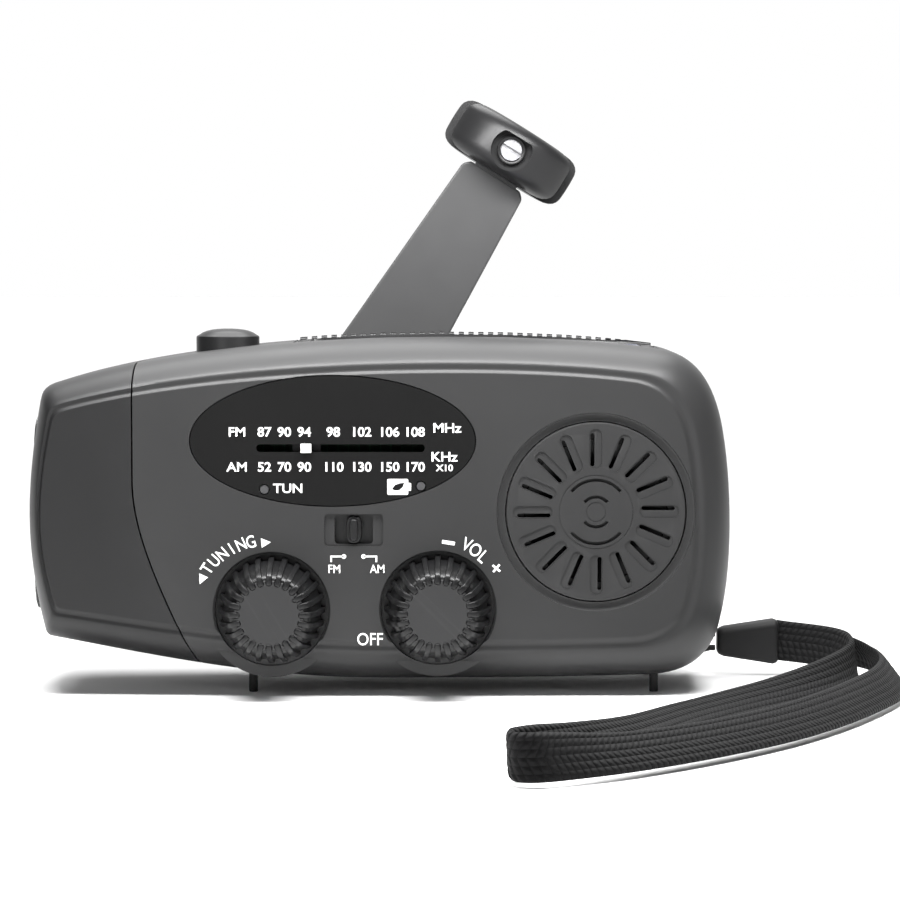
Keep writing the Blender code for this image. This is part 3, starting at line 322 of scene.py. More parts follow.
def wear_group():
    """A mask that is 1 on rubbed edges, broken up by noise."""
    group, start, end = new_group(
        "edge_wear",
        (("Amount", "NodeSocketFloat", 0.3),),
        (("Mask", "NodeSocketFloat"),),
    )
    geometry = group.nodes.new("ShaderNodeNewGeometry")
    ramp = group.nodes.new("ShaderNodeMapRange")
    ramp.inputs["From Min"].default_value = 0.52
    ramp.inputs["From Max"].default_value = 0.62
    wire(group, geometry.outputs["Pointiness"], ramp.inputs["Value"])
    place = group.nodes.new("ShaderNodeTexCoord").outputs["Object"]
    patchy = noise(group, place, 260.0, 4.0)
    mask = math_node(group, "MULTIPLY", ramp.outputs["Result"], patchy)
    wire(group, math_node(group, "MULTIPLY", mask, start.outputs["Amount"]), end.inputs["Mask"])
    return group


GRAIN = grain_group()
WEAR = wear_group()


def base_material(name, colour, roughness, metallic=0.0):
    made = bpy.data.materials.new(name)
    made.use_nodes = True
    made.diffuse_color = (*colour, 1)
    shader = made.node_tree.nodes["Principled BSDF"]
    shader.inputs["Base Color"].default_value = (*colour, 1)
    shader.inputs["Roughness"].default_value = roughness
    shader.inputs["Metallic"].default_value = metallic
    return made, made.node_tree, shader


def plastic(name, colour, roughness, grain=6000.0, bump=0.08, variation=0.08, wear=0.25, shine=0.4):
    """Moulded plastic with grain, slow variation and lighter rubbed edges."""
    made, tree, shader = base_material(name, colour, roughness)
    effect = tree.nodes.new("ShaderNodeGroup")
    effect.node_tree = GRAIN
    effect.inputs["Colour"].default_value = (*colour, 1)
    effect.inputs["Roughness"].default_value = roughness
    effect.inputs["Variation"].default_value = variation
    effect.inputs["Grain Size"].default_value = grain
    rub = tree.nodes.new("ShaderNodeGroup")
    rub.node_tree = WEAR
    rub.inputs["Amount"].default_value = wear
    mix = tree.nodes.new("ShaderNodeMix")
    mix.data_type = "RGBA"
    wire(tree, rub.outputs["Mask"], mix.inputs["Factor"])
    wire(tree, effect.outputs["Colour"], mix.inputs["A"])
    mix.inputs["B"].default_value = (*[min(1, 0.05 + 2.2 * c) for c in colour], 1)
    wire(tree, mix.outputs["Result"], shader.inputs["Base Color"])
    wire(tree, effect.outputs["Roughness"], shader.inputs["Roughness"])
    if bump:
        relief = tree.nodes.new("ShaderNodeBump")
        relief.inputs["Strength"].default_value = bump
        relief.inputs["Distance"].default_value = 0.00003
        wire(tree, effect.outputs["Height"], relief.inputs["Height"])
        wire(tree, relief.outputs["Normal"], shader.inputs["Normal"])
    shader.inputs["Specular IOR Level"].default_value = shine
    return made


def metal(name, colour, roughness, scale=900.0, stretch=(1, 14, 1)):
    """Drawn or turned metal, with fine streaks in its roughness."""
    made, tree, shader = base_material(name, colour, roughness, 1.0)
    place = tree.nodes.new("ShaderNodeTexCoord")
    mapping = tree.nodes.new("ShaderNodeMapping")
    mapping.inputs["Scale"].default_value = stretch
    wire(tree, place.outputs["Object"], mapping.inputs["Vector"])
    streak = noise(tree, mapping.outputs["Vector"], scale, 3.0)
    wire(
        tree,
        math_node(tree, "ADD", math_node(tree, "MULTIPLY", streak, 0.25), roughness - 0.12),
        shader.inputs["Roughness"],
    )
    relief = tree.nodes.new("ShaderNodeBump")
    relief.inputs["Strength"].default_value = 0.1
    relief.inputs["Distance"].default_value = 0.00002
    wire(tree, streak, relief.inputs["Height"])
    wire(tree, relief.outputs["Normal"], shader.inputs["Normal"])
    return made


def clear_plastic(name):
    made, tree, shader = base_material(name, (0.9, 0.93, 0.95), 0.05)
    shader.inputs["Transmission Weight"].default_value = 1.0
    shader.inputs["IOR"].default_value = 1.49
    place = tree.nodes.new("ShaderNodeTexCoord")
    haze = noise(tree, place.outputs["Object"], 120.0, 3.0)
    wire(tree, math_node(tree, "MULTIPLY", haze, 0.12), shader.inputs["Roughness"])
    return made


def cells(name):
    """Solar cells: dark blue strips with thin silver lines between them."""
    made, tree, shader = base_material(name, (0.012, 0.016, 0.04), 0.18)
    place = tree.nodes.new("ShaderNodeTexCoord")
    split = tree.nodes.new("ShaderNodeSeparateXYZ")
    wire(tree, place.outputs["Object"], split.inputs["Vector"])
    x, y = split.outputs["X"], split.outputs["Y"]
    bars = math_node(tree, "LESS_THAN", math_node(tree, "PINGPONG", x, 0.00425), 0.00028)
    fine = math_node(tree, "LESS_THAN", math_node(tree, "PINGPONG", y, 0.00075), 0.00007)
    lines = math_node(tree, "MAXIMUM", bars, math_node(tree, "MULTIPLY", fine, 0.45))
    patch = noise(tree, place.outputs["Object"], 220.0, 3.0)
    mix = tree.nodes.new("ShaderNodeMix")
    mix.data_type = "RGBA"
    wire(tree, lines, mix.inputs["Factor"])
    tint = tree.nodes.new("ShaderNodeValToRGB")
    tint.color_ramp.elements[0].color = (0.008, 0.011, 0.03, 1)
    tint.color_ramp.elements[1].color = (0.02, 0.028, 0.075, 1)
    wire(tree, patch, tint.inputs["Fac"])
    wire(tree, tint.outputs["Color"], mix.inputs["A"])
    mix.inputs["B"].default_value = (0.42, 0.43, 0.45, 1)
    wire(tree, mix.outputs["Result"], shader.inputs["Base Color"])
    wire(tree, math_node(tree, "MULTIPLY", lines, 0.8), shader.inputs["Metallic"])
    wire(
        tree,
        math_node(tree, "ADD", math_node(tree, "MULTIPLY", patch, 0.2), 0.1),
        shader.inputs["Roughness"],
    )
    return made


def weave(name, colour):
    """A flat braid: slanting yarns that meet along the middle, from the strap's own map."""
    made, tree, shader = base_material(name, colour, 0.8)
    uv = tree.nodes.new("ShaderNodeUVMap")
    uv.uv_map = "along"
    split = tree.nodes.new("ShaderNodeSeparateXYZ")
    wire(tree, uv.outputs["UV"], split.inputs["Vector"])
    along, across = split.outputs["X"], split.outputs["Y"]
    side = math_node(
        tree, "ABSOLUTE", math_node(tree, "SUBTRACT", math_node(tree, "MODULO", across, 1.0), 0.5)
    )
    slant = math_node(
        tree, "ADD", math_node(tree, "MULTIPLY", along, 1.0), math_node(tree, "MULTIPLY", side, 2.4)
    )
    yarn = math_node(tree, "ABSOLUTE", math_node(tree, "SINE", math_node(tree, "MULTIPLY", slant, math.pi)))
    rows = math_node(
        tree, "ABSOLUTE", math_node(tree, "SINE", math_node(tree, "MULTIPLY", side, 6 * math.pi))
    )
    bumpy = math_node(
        tree, "MULTIPLY", math_node(tree, "ADD", yarn, 0.25), math_node(tree, "ADD", rows, 0.45)
    )
    place = tree.nodes.new("ShaderNodeTexCoord")
    fuzz = noise(tree, place.outputs["Object"], 3500.0, 4.0, 0.7)
    height = math_node(tree, "ADD", bumpy, math_node(tree, "MULTIPLY", fuzz, 0.35))
    relief = tree.nodes.new("ShaderNodeBump")
    relief.inputs["Strength"].default_value = 0.9
    relief.inputs["Distance"].default_value = 0.0003
    wire(tree, height, relief.inputs["Height"])
    wire(tree, relief.outputs["Normal"], shader.inputs["Normal"])
    # The colour follows the weave's height: darker in the low places between the yarns, painted shade, and lighter
    # on the yarn tops.
    ramp = tree.nodes.new("ShaderNodeValToRGB")
    ramp.color_ramp.elements[0].position = 0.1
    ramp.color_ramp.elements[0].color = (*[0.2 * c for c in colour], 1)
    ramp.color_ramp.elements[1].position = 0.8
    ramp.color_ramp.elements[1].color = (*[1.8 * c for c in colour], 1)
    wire(tree, height, ramp.inputs["Fac"])
    wire(tree, ramp.outputs["Color"], shader.inputs["Base Color"])
    shader.inputs["Specular IOR Level"].default_value = 0.2
    return made


def board(name):
    """Circuit board: green resist over faint copper tracks."""
    made, tree, shader = base_material(name, (0.01, 0.1, 0.04), 0.35)
    place = tree.nodes.new("ShaderNodeTexCoord")
    tracks = tree.nodes.new("ShaderNodeTexBrick")
    tracks.inputs["Scale"].default_value = 260.0
    tracks.inputs["Color1"].default_value = (0.008, 0.085, 0.032, 1)
    tracks.inputs["Color2"].default_value = (0.012, 0.12, 0.045, 1)
    tracks.inputs["Mortar"].default_value = (0.03, 0.2, 0.08, 1)
    wire(tree, place.outputs["Object"], tracks.inputs["Vector"])
    wire(tree, tracks.outputs["Color"], shader.inputs["Base Color"])
    return made


CASE_PLASTIC = plastic(
    "case_satin", (0.021, 0.021, 0.0213), 0.42,
    grain=5200.0, bump=0.12, wear=0.12, shine=0.25,
)
LAMP_PLASTIC = plastic(
    "lamp_satin", (0.012, 0.012, 0.0123), 0.42,
    grain=5200.0, bump=0.12, wear=0.12, shine=0.25,
)
BLACK_PLASTIC = plastic(
    "black_satin", (0.007, 0.007, 0.0073), 0.33,
    grain=7000.0, bump=0.06, wear=0.15, shine=0.25,
)
CRANK_PLASTIC = plastic(
    "crank_satin", (0.034, 0.034, 0.0345), 0.45,
    grain=5200.0, bump=0.12, wear=0.15, shine=0.3,
)
KNOB_PLASTIC = plastic("grip_satin", (0.011, 0.011, 0.0114), 0.36, bump=0.04, wear=0.12, shine=0.25)
KNOB_FACE = plastic("knob_face_grey", (0.022, 0.022, 0.0225), 0.45, wear=0.12, shine=0.25)
# A darker copy of the knob face's plastic for the knob's core and ribs: painted shade on the knob's sides, the knob
# being one plastic throughout.
KNOB_PAINTED_SHADE = plastic("knob_satin_painted_shade", (0.0065, 0.0065, 0.0068), 0.32, bump=0.04, wear=0.1, shine=0.25)
DIAL_PLASTIC = plastic("dial_black", (0.003, 0.003, 0.003), 0.5, bump=0.02, wear=0.0, shine=0.15)
WHITE_PLASTIC = plastic("white_plastic", (0.8, 0.8, 0.78), 0.4, bump=0.03, wear=0.0)
WHITE_INK = plastic("white_ink", (0.86, 0.86, 0.85), 0.5, grain=9000.0, bump=0.03, variation=0.03, wear=0.0)
LED_GREY = plastic("led_grey", (0.045, 0.045, 0.047), 0.3, bump=0.02, wear=0.0)
NYLON = plastic("gear_nylon", (0.74, 0.72, 0.65), 0.42, wear=0.0)
RUBBER = plastic("black_rubber", (0.006, 0.006, 0.0063), 0.6, grain=4200.0, bump=0.18, wear=0.2, shine=0.25)
STEEL = metal("plated_steel", (0.5, 0.5, 0.52), 0.32)
DARK_STEEL = metal("blackened_steel", (0.3, 0.3, 0.31), 0.4)
CHROME = metal("reflector_bright", (0.85, 0.85, 0.86), 0.14)
CLEAR = clear_plastic("clear_lens")
SOLAR = cells("solar_cells")
BOARD = board("board_green")
BRAID = weave("strap_braid", (0.0035, 0.0035, 0.0037))


# ---- pieces refined from the frame's own nodes -----------------------------------------------
def refined(name, node, body, slot, material, width=0.25, angle=40, segments=2, also=()):
    """A copy of a node with its flats merged, its edges rounded and its round faces smoothed."""
    thing = NODES[node].copy()
    thing.data = NODES[node].data.copy()
    thing.name = thing.data.name = name
    for key in list(thing.keys()):
        del thing[key]
    thing.parent = None
    bpy.context.scene.collection.objects.link(thing)
    only(thing)
    bpy.ops.object.mode_set(mode="EDIT")
    bpy.ops.mesh.select_all(action="SELECT")
    bpy.ops.mesh.remove_doubles(threshold=0.000001)
    bpy.ops.mesh.dissolve_limited(angle_limit=math.radians(1.0))
    bpy.ops.object.mode_set(mode="OBJECT")
    if width:
        round_edges(thing, width * MM, segments, angle)
    smooth(thing, angle)
    return dressed(thing, body, slot, material, node, *also)


# ---- the case --------------------------------------------------------------------------------
# Corner, handle, handle and steps for each stretch, clockwise from the top left.
STRETCHES = (
    ((-59.4, 55.7), (-45.0, 60.2), (-20.0, 63.9), 30),
    ((12.5, 63.9), (27.0, 63.9), (41.0, 63.2), 16),
    ((50.5, 61.9), (57.5, 61.0), (61.0, 56.0), 16),
    ((62.6, 47.5), (63.6, 41.8), (64.0, 36.0), 7),
    ((64.0, 30.0), (64.0, 24.0), (63.5, 18.0), 7),
    ((62.3, 13.2), (61.2, 7.6), (57.5, 3.7), 16),
    ((50.5, 3.1), (35.0, 2.5), (17.0, 2.4), 18),
    ((0.0, 2.4), (-22.0, 2.4), (-40.0, 6.3), 26),
    ((-60.3, 10.1), (-61.0, 10.3), (-61.2, 11.0), 5),
    ((-61.3, 11.5), (-62.9, 18.0), (-64.0, 25.0), 9),
    ((-64.0, 32.0), (-64.0, 39.0), (-63.0, 46.5), 9),
    ((-61.8, 53.0), (-61.5, 54.4), (-61.2, 55.0), 5),
)
FLANK_X = 20.0
HALF_LENGTH, DRAWN_HALF_LENGTH = 63.0, 64.0
UPPER, LOWER = 31.9, 29.6


def case_outline():
    points = []
    for (p, a, b, count), (q, *_) in zip(STRETCHES, STRETCHES[1:] + STRETCHES[:1]):
        curve = interpolate_bezier(*(Vector((*c, 0)) for c in (p, a, b, q)), count + 1)
        points += [(c.x * HALF_LENGTH / DRAWN_HALF_LENGTH, c.y) for c in curve[:-1]]
    return points


OUTLINE = case_outline()
# Depth and how far the case has drawn in there, from the front panel's edge to the back face's.
EDGE = (
    (-21.0, 6.3), (-20.97, 6.1), (-20.85, 5.9), (-20.65, 5.7), (-20.5, 5.4), (-20.5, 5.1), (-20.6, 4.8),
    (-20.62, 4.5), (-20.45, 4.15), (-20.1, 3.7), (-19.5, 3.1), (-18.8, 2.5), (-18.0, 1.95), (-17.0, 1.4),
    (-15.8, 0.9), (-14.3, 0.45), (-12.6, 0.15), (-10.5, 0.0), (0.0, 0.0), (10.0, 0.0), (12.0, 0.12),
    (14.0, 0.45), (15.6, 1.0), (17.0, 1.75), (18.2, 2.7), (19.2, 3.75), (20.0, 4.8), (20.6, 5.8),
    (20.9, 6.5), (21.0, 7.0),
)  # fmt: skip
INNER_EDGE = (
    (-19.0, 5.2), (-17.9, 3.6), (-16.2, 1.6), (-12.9, 0.3), (0.0, 0.0), (12.0, 0.2), (16.0, 1.4),
    (18.0, 3.6), (19.0, 5.6),
)  # fmt: skip


def case_form(name, edge, wall=0.0):
    """The case as one solid: its outline pulled back ring by ring, and squeezed in three parts."""
    bpy.ops.mesh.primitive_circle_add(vertices=len(OUTLINE), fill_type="NGON")
    form = named(name)
    for corner, (x, z) in zip(form.data.vertices, OUTLINE):
        corner.co = (x, edge[0][0], z)
    only(form)
    bpy.ops.object.mode_set(mode="EDIT")
    bpy.ops.mesh.select_all(action="SELECT")
    squeeze = (1.0, 1.0, 1.0, 1.0)
    for i, (depth, inset) in enumerate(edge):
        if i:
            step = depth - edge[i - 1][0]
            bpy.ops.mesh.extrude_region_move(TRANSFORM_OT_translate={"value": (0, step, 0)})
        wanted = (
            1 - (inset + wall) / UPPER,
            1 - (1.3 * inset + wall) / LOWER,
            1 - (1.2 * inset + wall) / (HALF_LENGTH - FLANK_X),
            1 - (0.5 * inset + wall) / (HALF_LENGTH + FLANK_X),
        )
        squeeze_ring(form, [w / s for w, s in zip(wanted, squeeze)])
        squeeze = wanted
    bpy.ops.object.mode_set(mode="OBJECT")
    return outward(form)


def squeeze_ring(form, shares):
    """Scales the selected ring's top and bottom towards the middle, and its two ends likewise."""
    mesh = bmesh.from_edit_mesh(form.data)
    ring = [v for v in mesh.verts if v.select]
    parts = (
        ([v for v in ring if v.co.z > MID_Z], (1, 1, shares[0])),
        ([v for v in ring if v.co.z <= MID_Z], (1, 1, shares[1])),
        ([v for v in ring if v.co.x > FLANK_X], (shares[2], 1, 1)),
        ([v for v in ring if v.co.x <= FLANK_X], (shares[3], 1, 1)),
    )
    for picked, value in parts:
        if max(abs(share - 1) for share in value) < 1e-9:
            continue
        for v in ring:
            v.select_set(False)
        for v in picked:
            v.select_set(True)
        mesh.select_flush_mode()
        bmesh.update_edit_mesh(form.data)
        bpy.ops.transform.resize(value=value, center_override=(FLANK_X, 0, MID_Z))
    for v in ring:
        v.select_set(True)
    mesh.select_flush_mode()
    bmesh.update_edit_mesh(form.data)


def lamp_side(name, shift):
    """Everything left of the lamp head's seam."""
    bend = ((-43.7, 38.6), (-43.7, 28.0), (-37.0, 15.0), (-28.5, -2.0))
    curve = interpolate_bezier(*(Vector((*p, 0)) for p in bend), 25)
    outline = [(-100, 100), (-43.7, 100)] + [(c.x, c.y) for c in curve] + [(-100, -2.0)]
    return extruded(name, [(x + shift, z) for x, z in outline], -100, 100)


def dish(name, centre, rings):
    """A round cutter that opens towards the front. Its rings are (radius, depth), back to front."""
    profile = [(r, -y) for r, y in rings]
    return lathe(name, profile, 96, TO_FRONT, (centre[0], 0, centre[1]))


def cut_front(shell):
    for name, spot in (("tuning_well", TUNING), ("volume_well", VOLUME)):
        add(shell, dish(name + "_pad", spot, ((12.1, -17.4), (12.1, -19.5))))
        cut(shell, dish(name, spot, ((10.05, -19.0), (10.1, -20.65), (10.5, -21.05), (10.5, -24))))
        cut(shell, dish(name + "_hole", spot, ((3.6, -12), (3.6, -24))))
    cut(shell, extruded("dial_seat", oval(*DIAL, 25.4, 11.7), -30, -19.5))
    cut(shell, extruded("dial_opening", oval(*DIAL, 23.9, 10.2, 48), -30, -12))
    seat = (
        (16.1, -12), (16.1, -20.3), (16.3, -20.25), (17.1, -20.2), (17.5, -20.4), (17.6, -20.7), (17.65, -24),
    )  # fmt: skip
    cut(shell, dish("grille_seat", SPEAKER, seat))
    cut(shell, extruded("switch_recess", pill(*SWITCH, 5.2, 2.85, 0.7), -30, FRONT + 0.5))
    cut(shell, extruded("switch_slot", pill(*SWITCH, 3.4, 2.6, 0.7), -30, -12))


def cut_top(shell, side):
    cut(shell, block(f"solar_seat_{side}", (-15.75, -9.3, 59.7), (50.35, 14.3, 90)))
    cut(shell, lathe(f"button_hole_{side}", ((6.07, 53.9), (6.07, 90)), 64, UPRIGHT, (BUTTON_X, 0, 0)))


SCREWS = ((-38.5, 50.0), (-4.4, 13.0), (52.0, 52.0), (49.0, 13.4))
POCKET = (39.55, 53.53, 6.0, 13.6)
PORT = (29.0, 14.4)


def hollow_case(name):
    shell = case_form(name, EDGE)
    combine(shell, inner_form, "DIFFERENCE")
    return shell


inner_form = case_form("inner_form", INNER_EDGE, WALL)

front_case = hollow_case("front_case")
cut(front_case, block("behind", (-90, -SEAM, -90), (90, 90, 90)), lamp_side("lamp_side_a", SEAM))
cut_front(front_case)
cut_top(front_case, "front")

rear_case = hollow_case("rear_case")
cut(rear_case, block("ahead", (-90, -90, -90), (90, SEAM, 90)), lamp_side("lamp_side_b", SEAM))


def cut_rear(shell):
    corner = block("strap_corner", (53.0, 6.2, -2), (68, 15.8, 11.4))
    keep_inside(corner, case_form("corner_limit", [(y * 0.976, i) for y, i in EDGE], 0.5))
    add(shell, corner)
    cut(shell, block("strap_notch", (55.0, 7.8, -6), (73, 14.2, 9.6)))
    add(shell, lathe("strap_bar", ((1.1, 7.3), (1.1, 14.7)), 24, TO_BACK, (58.6, 0, 6.4)))
    cup = (HUB[0], 0, HUB[1])
    add(shell, lathe("hub_cup", ((15.5, 14.0), (15.5, 20.5)), 64, TO_BACK, cup))
    cut(shell, lathe("hub_recess", ((13.5, 16.0), (13.5, 20.6), (13.9, 21.05), (13.9, 30)), 96, TO_BACK, cup))
    cut(shell, lathe("hub_hole", ((3.3, 5), (3.3, 20)), 32, TO_BACK, cup))
    left, right, floor, half = POCKET
    low_corner = (left - 1.8, floor - 1.8, MID_Z - half - 1.8)
    high_corner = (right + 1.8, 20.5, MID_Z + half + 1.8)
    add(shell, block("pocket_walls", low_corner, high_corner))
    pocket = block("pocket", (left, floor, MID_Z - half), (right, 30, MID_Z + half))
    round_edges(pocket, 0.8, 3)
    cut(shell, pocket)
    for i, (x, z) in enumerate(SCREWS):
        add(shell, lathe(f"boss_{i}", ((3.4, 1.3), (3.4, 20.2)), 32, TO_BACK, (x, 0, z)))
        bore = ((2.3, 6.0), (2.3, 20.6), (2.7, 21.05), (2.7, 30))
        cut(shell, lathe(f"counterbore_{i}", bore, 32, TO_BACK, (x, 0, z)))
        cut(shell, lathe(f"screw_way_{i}", ((1.3, -5), (1.3, 15)), 16, TO_BACK, (x, 0, z)))
    cut(shell, extruded("port_opening", pill(*PORT, 4.6, 2.3, 1.0), 15, 30))


cut_rear(rear_case)
cut_top(rear_case, "rear")

lamp_case = hollow_case("lamp_case")
keep_inside(lamp_case, lamp_side("lamp_side_c", -SEAM))


def rounded_slab(name, half_y, half_z, radius, start, end):
    """A round-cornered slab across X, for the lamp end's opening."""
    slab = extruded(name, pill(0, MID_Z, half_y, half_z, radius, 10), start, end)
    slab.rotation_euler = (0, 0, math.pi / 2)
    return apply_place(slab)


# Turned a quarter about Z, a slab's depth runs along -X, so its start and end change sign.
cut(lamp_case, rounded_slab("lens_opening", 13.3, 17.8, 6.3, 55.0, 90))
lens_lip = rounded_slab("lens_lip", 13.8, 18.3, 6.8, 62.45, 90)
cut(lamp_case, lens_lip)
bpy.data.objects.remove(inner_form)

for case, node, material in (
    (front_case, "front_shell", CASE_PLASTIC),
    (rear_case, "rear_shell", CASE_PLASTIC),
    (lamp_case, "lamp_head", LAMP_PLASTIC),
):
    settle(case)
    smooth(case, 32)
    dressed(case, "radio", "case_plastic", material, node)


# ---- speaker grille --------------------------------------------------------------------------
def arc_cutter(name, radius, middle, spread, half_width, low, high):
    """A bar bent round the speaker's centre."""
    bpy.ops.mesh.primitive_plane_add(
        size=1, location=(radius, (low + high) / 2, 0), rotation=(math.pi / 2, 0, 0)
    )
    bar = named(name)
    bar.scale = (2 * half_width, 1, 1)
    bar.rotation_euler = (0, 0, 0)
    bar.scale = (2 * half_width, high - low, 1)
    apply_place(bar)
    bpy.ops.object.mode_set(mode="EDIT")
    bpy.ops.mesh.select_all(action="SELECT")
    bpy.ops.mesh.spin(
        steps=28, angle=math.radians(spread), center=(0, 0, 0), axis=(0, 1, 0), use_auto_merge=False
    )
    bpy.ops.object.mode_set(mode="OBJECT")
    bar.rotation_euler = (0, math.radians(spread / 2 - middle), 0)
    apply_place(bar)
    bar.location = (SPEAKER[0], 0, SPEAKER[1])
    apply_place(bar)
    return outward(bar)


def build_grille():
    x, z = SPEAKER
    rings = ((15.9, -19.2), (15.9, -20.45), (15.78, -20.68), (15.45, -20.8))
    plate = dish("grille_plate", SPEAKER, rings)
    channels = extruded("channel", pill(x + 11.2, z + 0.1, 3.5, 1.15, 1.1), -30, -20.62)
    for tool in round_the_centre(channels, SPEAKER, 16):
        cut(plate, tool)
    slit = extruded("slit", pill(x + 11.0, z + 0.65, 2.95, 0.36, 0.34, 3), -30, -12)
    for tool in round_the_centre(slit, SPEAKER, 16):
        cut(plate, tool)
    for radius in (5.65, 2.65):
        for middle in (90, 270):
            cut(plate, arc_cutter(f"arc_{radius}_{middle}", radius, middle, 100, 0.28, -30, -19.9))
    ring = lathe("ring_outer", ((6.6, 20.72), (6.6, 24)), 64, TO_FRONT, (x, 0, z))
    cut(ring, lathe("ring_inner", ((6.45, 18), (6.45, 26)), 64, TO_FRONT, (x, 0, z)))
    cut(plate, ring)
    hub = lathe("hub_outer", ((1.75, 20.72), (1.75, 24)), 40, TO_FRONT, (x, 0, z))
    cut(hub, lathe("hub_inner", ((1.6, 18), (1.6, 26)), 40, TO_FRONT, (x, 0, z)))
    cut(plate, hub)
    settle(plate)
    smooth(plate, 32)
    dressed(plate, "radio", "case_plastic", CASE_PLASTIC, "speaker_grille")


build_grille()


# ---- knobs -----------------------------------------------------------------------------------
KNOB_RIBS = 24


def build_rib(name):
    """One rib, from the rim up the side and over onto the face, standing on the knob's core."""
    outline = [
        (8.0, 19.4), (9.5, 19.4), (9.5, 20.2), (9.15, 22.2), (8.6, 24.8), (7.9, 27.2), (7.3, 28.35), (6.75, 28.8),
        (6.2, 28.95), (5.2, 28.98), (5.2, 28.3), (6.8, 27.4),
    ]  # fmt: skip
    rib = extruded(name, outline, -0.5, 0.5)
    round_edges(rib, 0.2, 3, 40)
    rib.rotation_euler = (math.pi / 2, 0, 0)  # its heights turn from Z to -Y
    apply_place(rib)
    return rib


def build_knob(name, spot, body, marked):
    """A ribbed knob: a plain core with 24 ribs on it, and a face notched to take their ends."""
    core = ((8.8, 19.35), (8.75, 21.2), (8.35, 23.6), (7.6, 26.4), (7.0, 27.6), (6.4, 28.1), (5.9, 28.25))
    knob = lathe(name, core, 96, TO_FRONT)
    ribs = round_the_centre(build_rib(name + "_rib"), (0, 0), KNOB_RIBS)
    knob = joined(name, [knob] + ribs)
    knob.location = (spot[0], 0, spot[1])
    settle(knob)
    smooth(knob, 38)
    # The core and ribs take the darker copy of the knob plastic: painted shade on the sides.
    dressed(knob, body, "dark_trim", KNOB_PAINTED_SHADE, name.replace("_grip", ""))
    rim = ((6.0, -28.0), (6.1, -28.2), (6.1, -28.78), (6.02, -28.88), (5.9, -28.92))
    face = dish(name + "_face", (0, 0), rim)
    notch = extruded("notch", pill(6.6, 0, 1.5, 0.62, 0.6, 4), -30, -28.45)
    cut(face, joined("notches", round_the_centre(notch, (0, 0), KNOB_RIBS)))
    if marked:
        cut(face, dish(name + "_dot_ring", (4.45, 2.6), ((0.42, -28.6), (0.42, -30))))
        add(face, dish(name + "_dot", (4.45, 2.6), ((0.2, -28.4), (0.2, -28.9))))
    face.location = (spot[0], 0, spot[1])
    settle(face)
    smooth(face, 32)
    dressed(face, body, "dark_trim", KNOB_FACE)


build_knob("tuning_knob_grip", TUNING, "tuner", True)
build_knob("volume_knob_grip", VOLUME, "volume", False)


# ---- band switch thumb, pointer and dial -----------------------------------------------------
def build_switch():
    plate = block("band_plate", (-12.5 + 4.6, -18.7, 26.15), (3.5 - 4.6, -17.7, 33.85))
    settle(plate)
    smooth(plate, 40)
    dressed(plate, "band", "case_plastic", CASE_PLASTIC, "band_slider")
    thumb = extruded("band_thumb", pill(*SWITCH, 1.35, 2.45, 1.3, 8), -20.75, -18.2)
    round_edges(thumb, 0.3, 3)
    ridge = extruded("ridge", pill(*SWITCH, 0.72, 1.95, 0.7, 8), -21.75, -20.5)
    round_edges(ridge, 0.3, 3)
    add(thumb, ridge)
    settle(thumb)
    smooth(thumb, 40)
    dressed(thumb, "band", "dark_trim", BLACK_PLASTIC)


build_switch()


def build_dial():
    plate = extruded("dial_plate", oval(*DIAL, 25.2, 11.5), -20.92, -19.7)
    cut(plate, extruded("pointer_track", pill(-6.8, 44.5, 14.9, 0.7, 0.68), -30, -10))
    for i, (x, z) in enumerate(((-20.3, 37.2), (7.4, 37.8))):
        cut(plate, dish(f"led_way_{i}", (x, z), ((0.95, -10), (0.95, -30))))
    round_edges(plate, 0.12, 2)
    settle(plate)
    smooth(plate, 40)
    dressed(plate, "radio", "dial_plastic", DIAL_PLASTIC, "dial_window")


def build_pointer():
    """The white bar that shows through the dial's slot, on the front of the sliding pointer."""
    bar = block("pointer_bar", (-13.85, -21.5, 43.7), (-11.95, -21.2, 45.3))
    round_edges(bar, 0.06, 2)
    settle(bar)
    smooth(bar, 40)
    dressed(bar, "pointer", "white_plastic", WHITE_PLASTIC)


build_dial()


# ---- print -----------------------------------------------------------------------------------
INK = 0.03  # how far the print stands off its panel


def letters(text, x, z, height, panel, turn=0.0, narrow=1.0, bold=0.02):
    """Text of that capital height, standing on panel's depth and turned about Y."""
    bpy.ops.object.text_add(rotation=(math.pi / 2, 0, 0))
    label = bpy.context.object
    label.data.body = text
    label.data.align_x = "CENTER"
    label.data.align_y = "CENTER"
    label.data.size = height / 0.69
    label.data.offset = bold
    label.data.extrude = INK / 2
    label.data.resolution_u = 4
    only(label)
    bpy.ops.object.convert(target="MESH")
    label = apply_place(bpy.context.object)
    label.scale = (narrow, 1, 1)
    apply_place(label)
    label.rotation_euler = (0, math.radians(turn), 0)
    apply_place(label)
    label.location = (x, panel - INK, z)
    return apply_place(label)


def mark(outline, panel):
    return extruded("mark", outline, panel - 1.5 * INK, panel - INK / 2)


